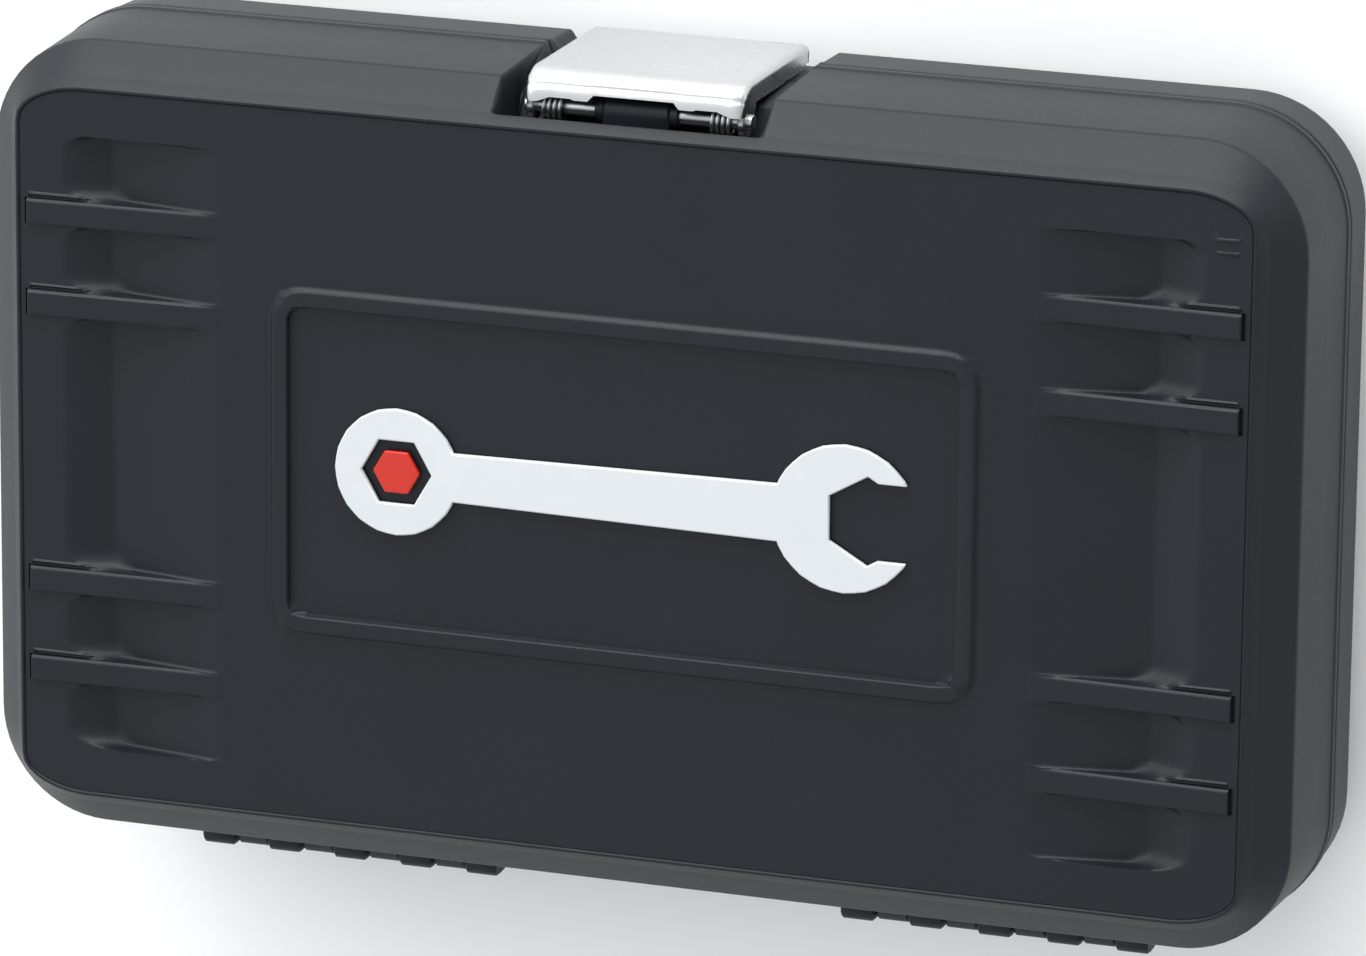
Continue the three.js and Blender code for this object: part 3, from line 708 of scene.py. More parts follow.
def rib_height(x, y, rise):
    """Height of the rib strips over the face: proud at the outer end, flush at the inner one."""
    a = np.abs(x)
    along = np.clip((a - RIB_IN) / (RIB_OUT - RIB_IN), 0, 1)
    top = rise * along ** 1.4
    height, inside = np.zeros_like(a), np.zeros_like(a, bool)
    for rib in RIB_Y:
        lit, shaded = y - (rib - RIB_HALF), (rib + RIB_HALF) - y
        ends = np.minimum(a - RIB_IN, RIB_OUT - a)
        on = np.minimum(np.minimum(lit, shaded), ends) > -0.005
        cut = np.maximum(0.34 - np.clip(lit, 0, 1), 0.2 - np.clip(shaded, 0, 1))
        cut = cut * np.clip((a - RIB_IN) / 4, 0, 1)
        cut = np.maximum(cut, 0.15 - np.clip(RIB_OUT - a, 0, 1))
        height = np.where(on, top - np.maximum(cut, 0), height)
        inside |= on
    return height, inside


def face_height(x, y, rise):
    """Height of the lid's face: raised frame, troughs, ribs, and the marks in one corner."""
    d = box_distance(x, y - FRAME_CY, FRAME_HX, FRAME_HY, FRAME_R)
    ring = FRAME_RISE * smooth_step(-d, -0.25, 0.75)
    ring = ring - (FRAME_RISE + FRAME_SINK) * smooth_step(-d, FRAME_WIDTH - 0.35, FRAME_WIDTH + 0.05)
    rib, inside = rib_height(x, y, rise)
    depth = np.where(inside, 0.0, trough_depth(x, y))
    groove, lip = np.zeros_like(x), np.zeros_like(x)
    a = np.abs(x)
    end_slot = 1 - smooth_step(np.abs(a - RIB_OUT - 0.24), 0.1, 0.24)
    for y_rib in RIB_Y:
        beside = y_rib - RIB_HALF - y
        groove = np.maximum(groove, (1 - smooth_step(np.abs(beside - 0.3), 0.1, 0.32)) * (a > RIB_IN + 4))
        lip = np.maximum(lip, 1 - smooth_step(np.abs(beside - 0.72), 0.06, 0.26))
        slot = end_slot * (np.abs(y - y_rib) < RIB_HALF + 0.1)
        depth = np.where(inside, depth, np.maximum(depth, SLOT_DEPTH * slot))
    lip = LIP_RISE * lip * smooth_step(a, 80, 83) * (1 - smooth_step(a, RIB_OUT - 0.5, RIB_OUT))
    lip = np.where(depth < 0.3, lip, 0.0)
    reach = smooth_step(a, 72, 84) * (1 - smooth_step(a, RIB_OUT - 0.4, RIB_OUT))
    groove = GROOVE_DEPTH * groove * reach * (depth < 0.35) * ~inside
    bars = 0.0
    for y_bar in BAR_Y:
        across_bar = 1 - smooth_step(np.abs(y - y_bar), 0.12, 0.3)
        bars = bars + BAR_RISE * across_bar * (1 - smooth_step(np.abs(x - BAR_X), 1.6, 1.9))
    return FACE_Z + ring + rib - depth - groove + bars + lip


COARSE, FINE, CLOSEST = 3.0, 0.14, 0.09    # grid spacing on flats and round a mark, and the least gap
SKIN = 0.004                               # gap between the two lines that make a mark a sharp step
GRID_MARGIN = 0.45                         # gap between the grid and the face's outline


def feature_lines(limit, coarse, fine_spans, marks):
    """Grid lines from -limit to limit: coarse, finer over some spans, finest round the marks."""
    lines = list(np.arange(-limit, limit, coarse))
    for low, high, step in fine_spans:
        lines += list(np.arange(low, high, step)) + list(-np.arange(low, high, step))
    for mark, reach in marks:
        for offset in np.linspace(-reach, reach, 2 * round(reach / FINE) + 1):
            lines += [mark + offset, -(mark + offset)]
        lines += [mark - SKIN, SKIN - mark]
    lines = np.unique(np.round(np.array(lines), 3))
    exact = {round(side * (mark - skin), 3)
             for mark, _ in marks for side in (-1, 1) for skin in (0, SKIN)}
    keep = []
    for value in lines:
        if value in exact or not keep or value - keep[-1] > CLOSEST:
            keep.append(value)
    return np.array(keep)


def fill_face(surface, boundary_start, boundary_xy, xs, ys, height):
    """Fills the outline with a grid of quads and a band of triangles that reaches the outline."""
    count = len(boundary_xy)
    gx, gy = np.meshgrid(xs, ys, indexing="ij")
    hx, hy = CORE_X + FACE_R, CORE_Y + FACE_R
    inside = box_distance(gx, gy, hx, hy, FACE_R) < -GRID_MARGIN
    cells = inside[:-1, :-1] & inside[1:, :-1] & inside[:-1, 1:] & inside[1:, 1:]
    used = np.zeros_like(inside)
    used[:-1, :-1] |= cells
    used[1:, :-1] |= cells
    used[:-1, 1:] |= cells
    used[1:, 1:] |= cells
    index = -np.ones(inside.shape, int)
    where = np.argwhere(used)
    points = np.column_stack([gx[used], gy[used], height(gx[used], gy[used])])
    start = surface.add(points)
    for k, (i, j) in enumerate(where):
        index[i, j] = start + k
    edges = {}
    for i, j in np.argwhere(cells):
        quad = (index[i, j], index[i + 1, j], index[i + 1, j + 1], index[i, j + 1])
        surface.faces.append(tuple(int(q) for q in quad))
        for a, b in zip(quad, quad[1:] + quad[:1]):
            edges[(a, b)] = edges.get((a, b), 0) + 1
    rim = [(a, b) for a, b in edges if (b, a) not in edges]
    band = sorted({a for a, _ in rim})
    flat = [Vector(p) for p in boundary_xy] + [Vector(surface.points[i][:2]) for i in band]
    local = {i: count + k for k, i in enumerate(band)}
    constraints = [(k, (k + 1) % count) for k in range(count)] + [(local[a], local[b]) for a, b in rim]
    _, _, faces, origin, _, _ = delaunay_2d_cdt(flat, constraints, [], 1, 1e-6)
    target = [boundary_start + k for k in range(count)] + band
    for face in faces:
        ids = [origin[v][0] for v in face]
        cx, cy = np.mean([flat[i][:] for i in ids], axis=0)
        i, j = np.searchsorted(xs, cx) - 1, np.searchsorted(ys, cy) - 1
        on_cell = 0 <= i < cells.shape[0] and 0 <= j < cells.shape[1] and cells[i, j]
        if not on_cell:
            surface.faces.append(tuple(target[k] for k in ids))


# each profile runs from the parting line: (distance outside the core rectangle, height)
LID_PROFILE = [(16.9, 18.15), (17.4, 18.15), (17.4, 19.3), (17.15, 19.7), (16.9, 28.0), (16.5, 37.5),
               (12.1, 42.2), (10.65, 44.05), (10.3, 44.05), (10.1, FACE_Z - 0.12), (FACE_R, FACE_Z)]
LID_FILLETS = [0.25, 0.3, 0.4, 3.0, 1.1, 2.0, 0.25, 0.1, 0.05]
LID_RECESS = [(14.5, 18.15), (14.5, 19.0), (14.4, 24.0), (13.9, 31.0), (8.3, 34.0), (8.3, 40.2),
              (12.1, 42.2), (10.65, 44.05), (10.3, 44.05), (10.1, FACE_Z - 0.12), (FACE_R, FACE_Z)]
LID_RECESS_FILLETS = [0.3, 3.0, 1.0, 1.0, 1.0, 0.5, 0.25, 0.1, 0.05]
LID_INNER = [(15.9, 18.15), (15.9, 20.0), (14.9, 20.0), (14.5, 36.0), (9.2, 38.4), (4.0, 38.4), (1.0, 38.4)]
INNER_FILLETS = [0.2, 0.2, 1.5, 1.5, 1.0]
LID_INNER_RECESS = [(12.2, 18.15), (12.1, 20.0), (11.9, 22.0), (11.5, 29.5), (6.0, 32.5), (4.0, 38.4),
                    (1.0, 38.4)]
RECESS_FILLETS = [0.2, 0.2, 1.0, 1.0, 1.0]


def build_lid(settings):
    """The lid: outside, face, inside and the seat of the latch."""
    rise = settings.rib_rise / MM
    surface = Surface()
    plain, recessed = fillet(LID_PROFILE, LID_FILLETS), fillet(LID_RECESS, LID_RECESS_FILLETS)
    outer = profile_rings(plain, recessed, recess_weight(), full_corners)
    starts = surface.rings(outer)
    n = len(CORE)
    x_marks = [(FRAME_HX - 0.2, 0.6), (FRAME_HX - 3.0, 0.4), (RIB_OUT, 0.5), (RIB_IN, 0.3)]
    y_marks = [(rib + side * RIB_HALF, 1.0) for rib in RIB_Y[2:] for side in (-1, 1)]
    y_marks += [(TROUGH_END, 0.6), (FRAME_HY + 0.8, 0.6), (FRAME_HY - 1.2, 0.6), (FRAME_HY - 2.0, 0.5),
                (FRAME_HY - 4.0, 0.4)] + [(-y_bar, 0.3) for y_bar in BAR_Y]
    x_spans, y_spans = [(42.0, 56.0, 1.5), (60.5, 74.0, 0.9), (74.0, 93.0, 0.5)], [(13.0, 47.0, 0.6)]
    xs = feature_lines(CORE_X + FACE_R, COARSE, x_spans, x_marks)
    ys = feature_lines(CORE_Y + FACE_R, COARSE, y_spans, y_marks)
    fill_face(surface, starts[-1], outer[-1][:, :2], xs, ys, lambda x, y: face_height(x, y, rise))
    inside = profile_rings(fillet(LID_INNER, INNER_FILLETS, 3), fillet(LID_INNER_RECESS, RECESS_FILLETS, 3),
                           recess_weight(*INNER_RECESS))
    inner_starts = surface.rings(inside, flip=True)
    surface.bridge(inner_starts[0], starts[0], n)
    surface.cap(inner_starts[-1], n, flip=True)
    add_latch_seat(surface)
    obj = surface.make("lid_shell_moulded", paint("shell_plastic"))
    return finish(obj, "lid", "shell", "lid_shell")


# ---- base -----------------------------------------------------------------

BASE_PROFILE = [(16.9, 17.85), (17.4, 17.85), (17.4, 16.7), (17.15, 16.3), (16.9, 8.0), (12.4, 2.4),
                (10.4, 0.0), (9.6, 0.0)]
BASE_FILLETS = [0.25, 0.3, 0.4, 1.2, 2.0, 0.8]
BASE_RECESS = [(14.5, 17.85), (14.5, 16.9), (14.5, 14.0), (14.5, 11.0), (14.5, 8.0), (12.4, 2.4),
               (10.4, 0.0), (9.6, 0.0)]
BASE_RECESS_FILLETS = [0.3, 1, 1, 1.2, 2.0, 0.8]
BASE_PANEL = [(9.6, 0.0), (2.0, 0.0), (1.2, 0.8), (-4.0, 0.8)]
BASE_INNER = [(16.9, 17.85), (15.9, 17.85), (15.9, 19.4), (14.9, 19.4), (14.5, 9.0), (9.1, 2.4), (4.0, 2.4)]
BASE_INNER_RECESS = [(14.5, 17.85), (12.1, 17.85), (12.1, 17.85), (12.1, 17.85), (12.1, 9.0), (9.1, 2.4),
                     (4.0, 2.4)]
CATCH = [(-56.9, 10.9), (-56.9, 14.3), (-57.9, 14.3), (-59.3, 12.4), (-59.3, 10.9)]
CATCH_HALF = 13        # half width of the ridge that holds the latch lip


def build_base():
    """The base with its tongue, its sunk underside and the catch ridge."""
    surface = Surface()
    n = len(CORE)
    plain, recessed = fillet(BASE_PROFILE, BASE_FILLETS), fillet(BASE_RECESS, BASE_RECESS_FILLETS)
    starts = surface.rings(profile_rings(plain, recessed, recess_weight()), flip=True)
    under = surface.rings(profile_rings(fillet(BASE_PANEL, [0.5, 0.5], 3)), flip=True)
    surface.bridge(starts[-1], under[0], n, flip=True)
    surface.cap(under[-1], n, flip=True)
    inside = profile_rings(fillet(BASE_INNER, [0.15, 0.2, 0.2, 1.0, 1.0], 3),
                           fillet(BASE_INNER_RECESS, [0.15, 0.0, 0.0, 1.0, 1.0], 3),
                           recess_weight(*INNER_RECESS))
    inner_starts = surface.rings(inside)
    surface.bridge(starts[0], inner_starts[0], n)
    surface.cap(inner_starts[-1], n)
    bar(surface, "x", CATCH, -CATCH_HALF, CATCH_HALF, 0.3)
    obj = surface.make("base_shell_moulded", paint("shell_plastic"))
    return finish(obj, "case_base", "shell", "base_shell")


# ---- hinges ---------------------------------------------------------------

HINGE_R, PITCH = 3.3, 5.25     # radius and spacing of the knuckles
KNUCKLE_GAP = 0.3
ARM_Y = 59.6                   # where a knuckle's arm ends, inside the shell
PIN_TURN = (0.0, math.pi / 2, 0.0)


def hinge_outline(on_lid):
    """Outline of one knuckle with its arm, across the hinge line as (Y, Z)."""
    y, z = HINGE_Y, PARTING_Z
    if on_lid:
        return (arc(y, z, HINGE_R, 178, 360) + arc(y + 1.9, z + 1.9, 1.4, 0, 90, 5)
                + [(ARM_Y, z + HINGE_R), (ARM_Y, z + 0.15)])
    return (arc(y + 1.75, z + 0.9, 1.4, 0, 60, 5) + arc(y, z, HINGE_R - 0.15, 66, 178)
            + [(ARM_Y, z - 0.15), (ARM_Y, z - HINGE_R)] + arc(y + 1.65, z - 1.8, 1.5, 270, 360, 5))


def build_hinges(settings):
    """Both hinges: knuckles that alternate between lid and base, and the pins."""
    plastic, steel = paint("shell_plastic"), paint("plain_steel")
    count = settings.knuckles
    for number in (1, 2):
        low, high = cad_box(f"hinge_pin_{number}")
        middle = (low[0] + high[0]) / 2
        for first, shell, body in ((0, "lid", "lid"), (1, "base", "case_base")):
            knuckle = Surface()
            half = (PITCH - KNUCKLE_GAP) / 2
            bar(knuckle, "x", hinge_outline(shell == "lid"), -half, half, 0.3)
            copies = (count - first + 1) // 2
            start = middle + (first - (count - 1) / 2) * PITCH
            row = grown(f"hinge_{number}_{shell}_knuckles", "repeat", plastic, {
                "Count": copies, "Step": (2 * PITCH * MM, 0.0, 0.0), "Place": (start * MM, 0.0, 0.0)},
                knuckle.make("knuckle", plastic))
            finish(row, body, "shell")
        pin = Surface()
        ends = [(low[0], 0.7), (low[0] + 0.1, 1.0), (low[0] + 0.4, 1.25), (high[0] - 0.4, 1.25),
                (high[0] - 0.1, 1.0), (high[0], 0.7)]
        turn(pin, "x", (HINGE_Y, PARTING_Z), eased(ends, 0.1))
        finish(pin.make(f"hinge_pin_{number}_turned", steel), "case_base", "steel", f"hinge_pin_{number}")


# ---- latch ----------------------------------------------------------------

PLATE_HALF, PLATE_THICK = 16.5, 1.1
CHEEK = [(-57.4, 38.9), (-60.1, 37.6), (-60.9, 35.0), (-60.6, 31.8), (-58.2, 33.0)]   # past the pin, (Y, Z)


def latch_path():
    """Outside of the latch plate, from the pivot edge down to the catch lip, as (Y, Z)."""
    bend = arc(-56.9, 35.0, 4.5, 88, 180, 20)
    return np.array(bend[:-1] + [tuple(p) for p in fillet(
        [bend[-1], (-61.4, 10.9), (-60.9, 8.7), (-58.5, 8.7)], [2.2, 1.0], 9)])


def resampled(line, marks):
    """Points at given distances along a line, and the inward normals there."""
    steps = np.linalg.norm(np.diff(line, axis=0), axis=1)
    at = np.concatenate([[0], np.cumsum(steps)])
    points = np.column_stack([np.interp(marks, at, line[:, k]) for k in (0, 1)])
    ahead = np.column_stack([np.interp(marks + 0.05, at, line[:, k]) for k in (0, 1)])
    behind = np.column_stack([np.interp(marks - 0.05, at, line[:, k]) for k in (0, 1)])
    along = ahead - behind
    along /= np.linalg.norm(along, axis=1)[:, None]
    return points, np.column_stack([-along[:, 1], along[:, 0]])


EDGE_AT = [0, 6.0, 6.9, 9.0, 9.5, 12.6, 14.6, 16.5]
EDGE_CUT = [1.5, 1.5, 0.55, 0.55, 0.75, 0.75, 0.0, 0.0]
# half of the lines across the plate, from one side to the middle notch
PLATE_LINES = [-16.5, -16.5, -16.42, -16.2, -15.85, -15.4, -14.6, -13.6, -12.6, -11, -9.5, -9.0, -8, -6.9,
               -6.45, -6.0]


def plate_edge(x):
    """How far the pivot edge is cut back: ears at the corners, a notch in the middle."""
    return float(np.interp(abs(x), EDGE_AT, EDGE_CUT))


def plate_rings():
    """Rings round the bent latch plate, one at each of its lengthwise marks."""
    path = latch_path()
    length = float(np.sum(np.linalg.norm(np.diff(path, axis=0), axis=1)))
    across_x = np.array(PLATE_LINES + list(np.linspace(-4.5, 4.5, 7)) + [-x for x in PLATE_LINES[::-1]])
    flat = PLATE_HALF - PLATE_THICK
    drop = np.zeros(len(across_x))
    round_over = np.abs(across_x) > flat - 0.01
    past = np.abs(across_x[round_over]) - flat
    drop[round_over] = PLATE_THICK - np.sqrt(np.maximum(PLATE_THICK ** 2 - past ** 2, 0))
    marks = np.unique(np.concatenate([
        np.linspace(0, 3, 13), np.linspace(3, 10, 24), np.linspace(10, length - 5, 16),
        np.linspace(length - 5, length, 18)]))
    crease = 0.16 * np.exp(-((marks - 2.5) / 0.35) ** 2)
    flange = 2.3 * np.clip((length - 1.5 - marks) / 3.0, 0, 1) + PLATE_THICK + 0.02
    cut = np.array([plate_edge(x) for x in across_x])
    inner_x = np.clip(across_x, -flat, flat)[::-1]
    rings = []
    for s, fold, deep in zip(marks, crease, flange):
        points, inward = resampled(path, s + cut * max(0.0, 1 - s / 3.0))
        sides = []
        for depth in (drop, np.full(len(across_x), PLATE_THICK + 0.02)):
            depth = depth.copy()
            depth[0] = depth[-1] = deep
            sides.append(points + inward * (depth + fold)[:, None])
        outer, inner = sides
        rings.append([(x, *p) for x, p in zip(across_x, outer)]
                     + [(x, *p) for x, p in zip(inner_x, inner[::-1])])
    return rings


def build_latch():
    """The latch plate, its pin and its two springs."""
    chrome, steel = paint("latch_plating"), paint("plain_steel")
    surface, rings = Surface(), plate_rings()
    starts = surface.rings(rings, flip=True)
    n = len(rings[0])
    half = n // 2
    for start, flip in ((starts[0], False), (starts[-1], True)):
        for i in range(half - 1):
            face = (start + i, start + i + 1, start + n - 2 - i, start + n - 1 - i)
            surface.faces.append(face[::-1] if flip else face)
    for side in (-1, 1):
        low, high = sorted((side * 15.35, side * 16.42))
        cheek = arc(LATCH_Y, LATCH_Z, 2.3, -60, 110, 10) + CHEEK
        bar(surface, "x", cheek, low, high, 0.2)
    plate = surface.make("latch_plate_pressed", chrome, sharp=42.0)
    finish(plate, "latch", "chrome", "latch_plate")
    pin = Surface()
    low, high = PIN_LOW[0], PIN_HIGH[0]
    ends = [(low, 0.5), (low, 1.18), (high, 1.18), (high, 0.5)]
    turn(pin, "x", (LATCH_Y, LATCH_Z), eased(ends, 0.3))
    finish(pin.make("latch_pin_turned", steel), "lid", "steel", "latch_pin")
    for number in (1, 2):
        low, high = cad_box(f"latch_spring_{number}")
        coil = grown(f"latch_spring_{number}_coiled", "coil", steel, {
            "Turns": 4.0, "Radius": 1.93 * MM, "Length": (high[0] - low[0] - 0.7) * MM, "Wire": 0.31 * MM,
            "Turn": PIN_TURN, "Place": ((low[0] + 0.35) * MM, LATCH_Y * MM, LATCH_Z * MM)})
        finish(coil, "lid", "steel", f"latch_spring_{number}")


def add_latch_seat(surface):
    """The lid's hub for the latch pin and the two half-round bosses behind it."""
    hub = [(-50.8, 34.4), (-50.8, 38.0)] + arc(LATCH_Y, LATCH_Z, 2.0, 80, 270, 14)
    bar(surface, "x", hub, -5, 5, 0.3)
    for side in (-1, 1):
        collar = arc(LATCH_Y, LATCH_Z, 1.75, 0, 345, 22)
        bar(surface, "x", collar, *sorted((side * 4.9, side * 6.3)), 0.2)
        bar(surface, "y", arc(38.3, side * 8.6, 2.0, -90, 90), -52.0, -50.3, 0.3)


# ---- badge and lid pad ------------------------------------------------------


def build_badge():
    """A plain wrench with a hexagon at its ring end."""
    wrench = bevelled("badge_wrench_enamelled", "badge_wrench", paint("white_enamel"), 0.28)
    finish(wrench, "lid", "badge_white", "badge_wrench")
    hexagon = bevelled("badge_hexagon_enamelled", "badge_hexagon", paint("red_enamel"), 0.28)
    finish(hexagon, "lid", "badge_red", "badge_hexagon")


EGG = 6.25             # width of one bump of the foam


def build_pad():
    """The foam in the lid, with a shallow egg-box face towards the tools."""
    low, high = cad_box("lid_pad")
    hx, hy, r = high[0], high[1], 5.0
    nx, ny = 96, 88
    x, y = np.meshgrid(np.linspace(-hx, hx, nx + 1), np.linspace(-hy, hy, ny + 1), indexing="ij")
    ox, oy = np.maximum(np.abs(x) - (hx - r), 0), np.maximum(np.abs(y) - (hy - r), 0)
    pull = np.minimum(1, r / np.maximum(np.hypot(ox, oy), 1e-9))
    corner = (ox > 0) & (oy > 0)
    x = np.where(corner, np.sign(x) * (hx - r + ox * pull), x)
    y = np.where(corner, np.sign(y) * (hy - r + oy * pull), y)
    inset = np.clip(-box_distance(x, y, hx, hy, r), 0, 3.0)
    edge = 3.0 - np.sqrt(9.0 - (3.0 - inset) ** 2)
    egg_box = 1 + np.sin(x * math.pi / EGG) * np.sin(y * math.pi / EGG)
    wave = 1.1 * egg_box * smooth_step(inset, 0.5, 3.0)
    z = np.minimum(low[2] + edge + wave, high[2] - 1.0)
    surface = Surface()
    start = surface.add(np.column_stack([x.ravel(), y.ravel(), z.ravel()]))

    def at(i, j):
        return start + i * (ny + 1) + j

    surface.faces += [(at(i, j), at(i, j + 1), at(i + 1, j + 1), at(i + 1, j))
                      for i in range(nx) for j in range(ny)]
    loop = ([at(i, 0) for i in range(nx)] + [at(nx, j) for j in range(ny)]
            + [at(i, ny) for i in range(nx, 0, -1)] + [at(0, j) for j in range(ny, 0, -1)])
    top = surface.add([(*surface.points[i][:2], high[2]) for i in loop])
    for k, i in enumerate(loop):
        j = (k + 1) % len(loop)
        surface.faces.append((i, loop[j], top + j, top + k))
    surface.cap(top, len(loop))
    pad = surface.make("lid_pad_foam", paint("egg_foam"), sharp=60)
    finish(pad, "lid", "foam", "lid_pad")


# ---- tray and tools ---------------------------------------------------------

SQUARE = 3.225         # half across the flats of a drive hole
PEG = 3.175            # half across the flats of a drive peg
DRIVE_HOLE = [(8.5, SQUARE, 4), (0.4, SQUARE, 4), (0, SQUARE + 0.3, 4)]


def build_tray():
    """The five blocks of the insert."""
    for name in ("rack_small", "rack_bits", "rack_large", "bars", "ratchet"):
        block = bevelled(f"tray_{name}_moulded", f"tray_{name}", paint("tray_plastic"), 0.35)
        finish(block, "case_base", "tray", f"tray_{name}")


def build_sockets():
    """Sockets with their square and hexagon holes, and a knurled band round each."""
    chrome = paint("tool_chrome")
    for node in sorted(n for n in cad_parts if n.startswith("socket_")):
        size = float(node[7:-3].replace("_", "."))
        low, high = cad_box(node)
        x, y, _ = middle_of(node)
        r, length = (high[1] - low[1]) / 2, high[2] - low[2]
        drive, nose = min(r, 6.5), min(r, size * 0.7 + 0.9)
        flats, hole = size * 0.5066, min(2.9, size * 0.45)
        rings = eased([(0, drive - 1), (0, drive), (10.5, drive), (13, nose), (length, nose),
                       (length, flats * 1.17)], 0.5)
        rings += [(length - 0.7, flats, 6), (length - 10, flats, 6), (length - 10, hole, 0),
                  (8.5, hole, 0)] + DRIVE_HOLE
        surface = Surface()
        turn(surface, "z", (x, y), moved(rings, low[2]), through=True)
        finish(surface.make(f"{node}_turned", chrome), "case_base", "chrome", node)
        knurled(f"{node}_knurl", chrome, drive, 4.0, 44, (x, y, low[2] + 6.2))


def build_bars():
    """Extension bars, bit adapter and the sliding T-bar."""
    chrome, steel = paint("tool_chrome"), paint("plain_steel")
    for name in ("extension_long", "extension_short"):
        low, high = cad_box(name)
        (_, y, z), length = middle_of(name), high[0] - low[0]
        rings = DRIVE_HOLE + eased([
            (0, 4.9), (0, 6), (14, 6), (17, 4), (length - 10, 4), (length - 9.4, 4.6),
            (length - 7.8, 4.6), (length - 7.8, 3.4)], 0.4)
        rings += [(length - 7.75, PEG, 4), (length - 0.9, PEG, 4), (length - 0.2, 2.8, 4), (length, 2.4, 4)]
        surface = Surface()
        turn(surface, "x", (y, z), moved(rings, low[0]))
        finish(surface.make(f"{name}_turned", chrome), "case_base", "chrome", name)
        knurled(f"{name}_knurl", chrome, 6.0, 6.0, 48, (low[0] + 7.5, y, z), PIN_TURN)
        low, high = cad_box(f"{name}_ball")
        middle, r = (low + high) / 2, (high[2] - low[2]) / 2
        dome = Surface()
        turn(dome, "z", middle[:2], [(middle[2] + r * math.sin(a), r * math.cos(a), 0)
                                     for a in np.linspace(-1.5, 1.5, 13)])
        finish(dome.make(f"{name}_ball_ground", steel), "case_base", "steel", f"{name}_ball")
    low, high = cad_box("bit_adapter")
    (x, y, _), length = middle_of("bit_adapter"), high[2] - low[2]
    rings = eased([(0, 4.9), (0, 5.95), (length, 5.95), (length, 3.9)], 0.5)
    rings += [(length - 0.6, 3.25, 6), (length - 12.5, 3.25, 6), (length - 12.5, 2.0, 0),
              (8.5, 2.0, 0)] + DRIVE_HOLE
    surface = Surface()
    turn(surface, "z", (x, y), moved(rings, low[2]), through=True)
    finish(surface.make("bit_adapter_turned", chrome), "case_base", "chrome", "bit_adapter")
    knurled("bit_adapter_knurl", chrome, 5.95, 6.0, 44, (x, y, low[2] + 7))
    (low, high), (_, y, z) = cad_box("tee_bar"), middle_of("tee_bar")
    half = [(0, 1.5), (0, 3.7), (2.2, 3.7), (2.7, 3.2)]
    surface = Surface()
    turn(surface, "x", (y, z), eased(
        [(low[0] + a, r) for a, r in half] + [(high[0] - a, r) for a, r in half[::-1]], 0.5))
    finish(surface.make("tee_bar_turned", chrome), "case_base", "chrome", "tee_bar")
    head = bevelled("tee_head_machined", "tee_head", chrome, 0.25)
    finish(head, "tee_head", "chrome", "tee_head")


def build_bits():
    """The screwdriver bits."""
    for node in sorted(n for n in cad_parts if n.startswith("bit_") and n != "bit_adapter"):
        bit = bevelled(f"{node}_ground", node, paint("ground_steel"), 0.15)
        finish(bit, "case_base", "bit_steel", node)


def build_joint():
    """The universal joint's two yokes and its spider."""
    chrome, steel = paint("tool_chrome"), paint("plain_steel")
    for node, body, slot, material in (
            ("ujoint_socket_yoke", "case_base", "chrome", chrome),
            ("ujoint_drive_yoke", "drive_yoke", "chrome", chrome),
            ("ujoint_spider", "spider", "steel", steel)):
        finish(bevelled(f"{node}_machined", node, material, 0.2), body, slot, node)


def build_ratchet():
    """The ratchet's head, grip, drive and small parts."""
    chrome, steel = paint("tool_chrome"), paint("plain_steel")
    for node, body, slot, material in (
            ("ratchet_handle", "case_base", "chrome", chrome), ("ratchet_cover", "case_base", "steel", steel),
            ("ratchet_drive", "drive", "steel", steel), ("ratchet_pawl", "case_base", "steel", steel),
            ("ratchet_lever", "lever", "chrome", chrome), ("release_button", "button", "steel", steel),
            ("cover_screw_1", "case_base", "steel", steel), ("cover_screw_2", "case_base", "steel", steel)):
        piece = bevelled(f"{node}_machined", node, material, 0.2)
        if node == "ratchet_lever":
            slim_hub(piece)
        finish(piece, body, slot, node)
    low, (_, y, z) = cad_box("ratchet_grip")[0], middle_of("ratchet_grip")
    profile = [(0, 2.5), (0, 4.2), (1.5, 6.2), (4, 7.1), (10, 7.4), (26, 6.6), (40, 6.4)]
    for k in range(9):
        at = 58 + k * 2.6
        profile += [(at, 6.9), (at + 0.5, 6.45), (at + 1.1, 6.45), (at + 1.6, 6.95)]
    profile += [(84, 7), (86.5, 6.2), (86.5, 4.4)]
    rings = eased(profile, 0.5) + [(86.4, 3.75, 0), (9.5, 3.75, 0)]
    surface = Surface()
    turn(surface, "x", (y, z), moved(rings, low[0]))
    rubber = paint("grip_rubber")
    finish(surface.make("ratchet_grip_moulded", rubber), "case_base", "grip", "ratchet_grip")
    flutes = grown("ratchet_grip_flutes", "repeat", rubber, {
        "Count": 14, "Spin": math.pi / 7, "Turn": PIN_TURN,
        "Place": ((low[0] + 34) * MM, y * MM, z * MM)}, flute_unit(rubber))
    finish(flutes, "case_base", "grip")


PLATE_SIDE = 1.55 * MM     # thickness of the lever's plate, in metres
HUB_SHARE = 0.98           # width of its hub, as a share of the solid's


def slim_hub(lever):
    """Frees the lever's hub, below its plate, from the hole that it turns in."""
    x, y = middle_of("ratchet_drive")[:2] * MM
    plate = max(vert.co.z for vert in lever.data.vertices) - PLATE_SIDE
    for vert in lever.data.vertices:
        if vert.co.z < plate:
            vert.co.x = x + (vert.co.x - x) * HUB_SHARE
            vert.co.y = y + (vert.co.y - y) * HUB_SHARE


def flute_unit(material):
    """One raised flute of the grip, standing along Z at the front of the axis."""
    unit = Surface()
    outline = [(6.0, -0.8), (6.55, -0.8), (6.9, -0.4), (6.9, 0.4), (6.55, 0.8), (6.0, 0.8)]
    bar(unit, "z", outline, -13, 13, 0.5)
    return unit.make("flute", material)


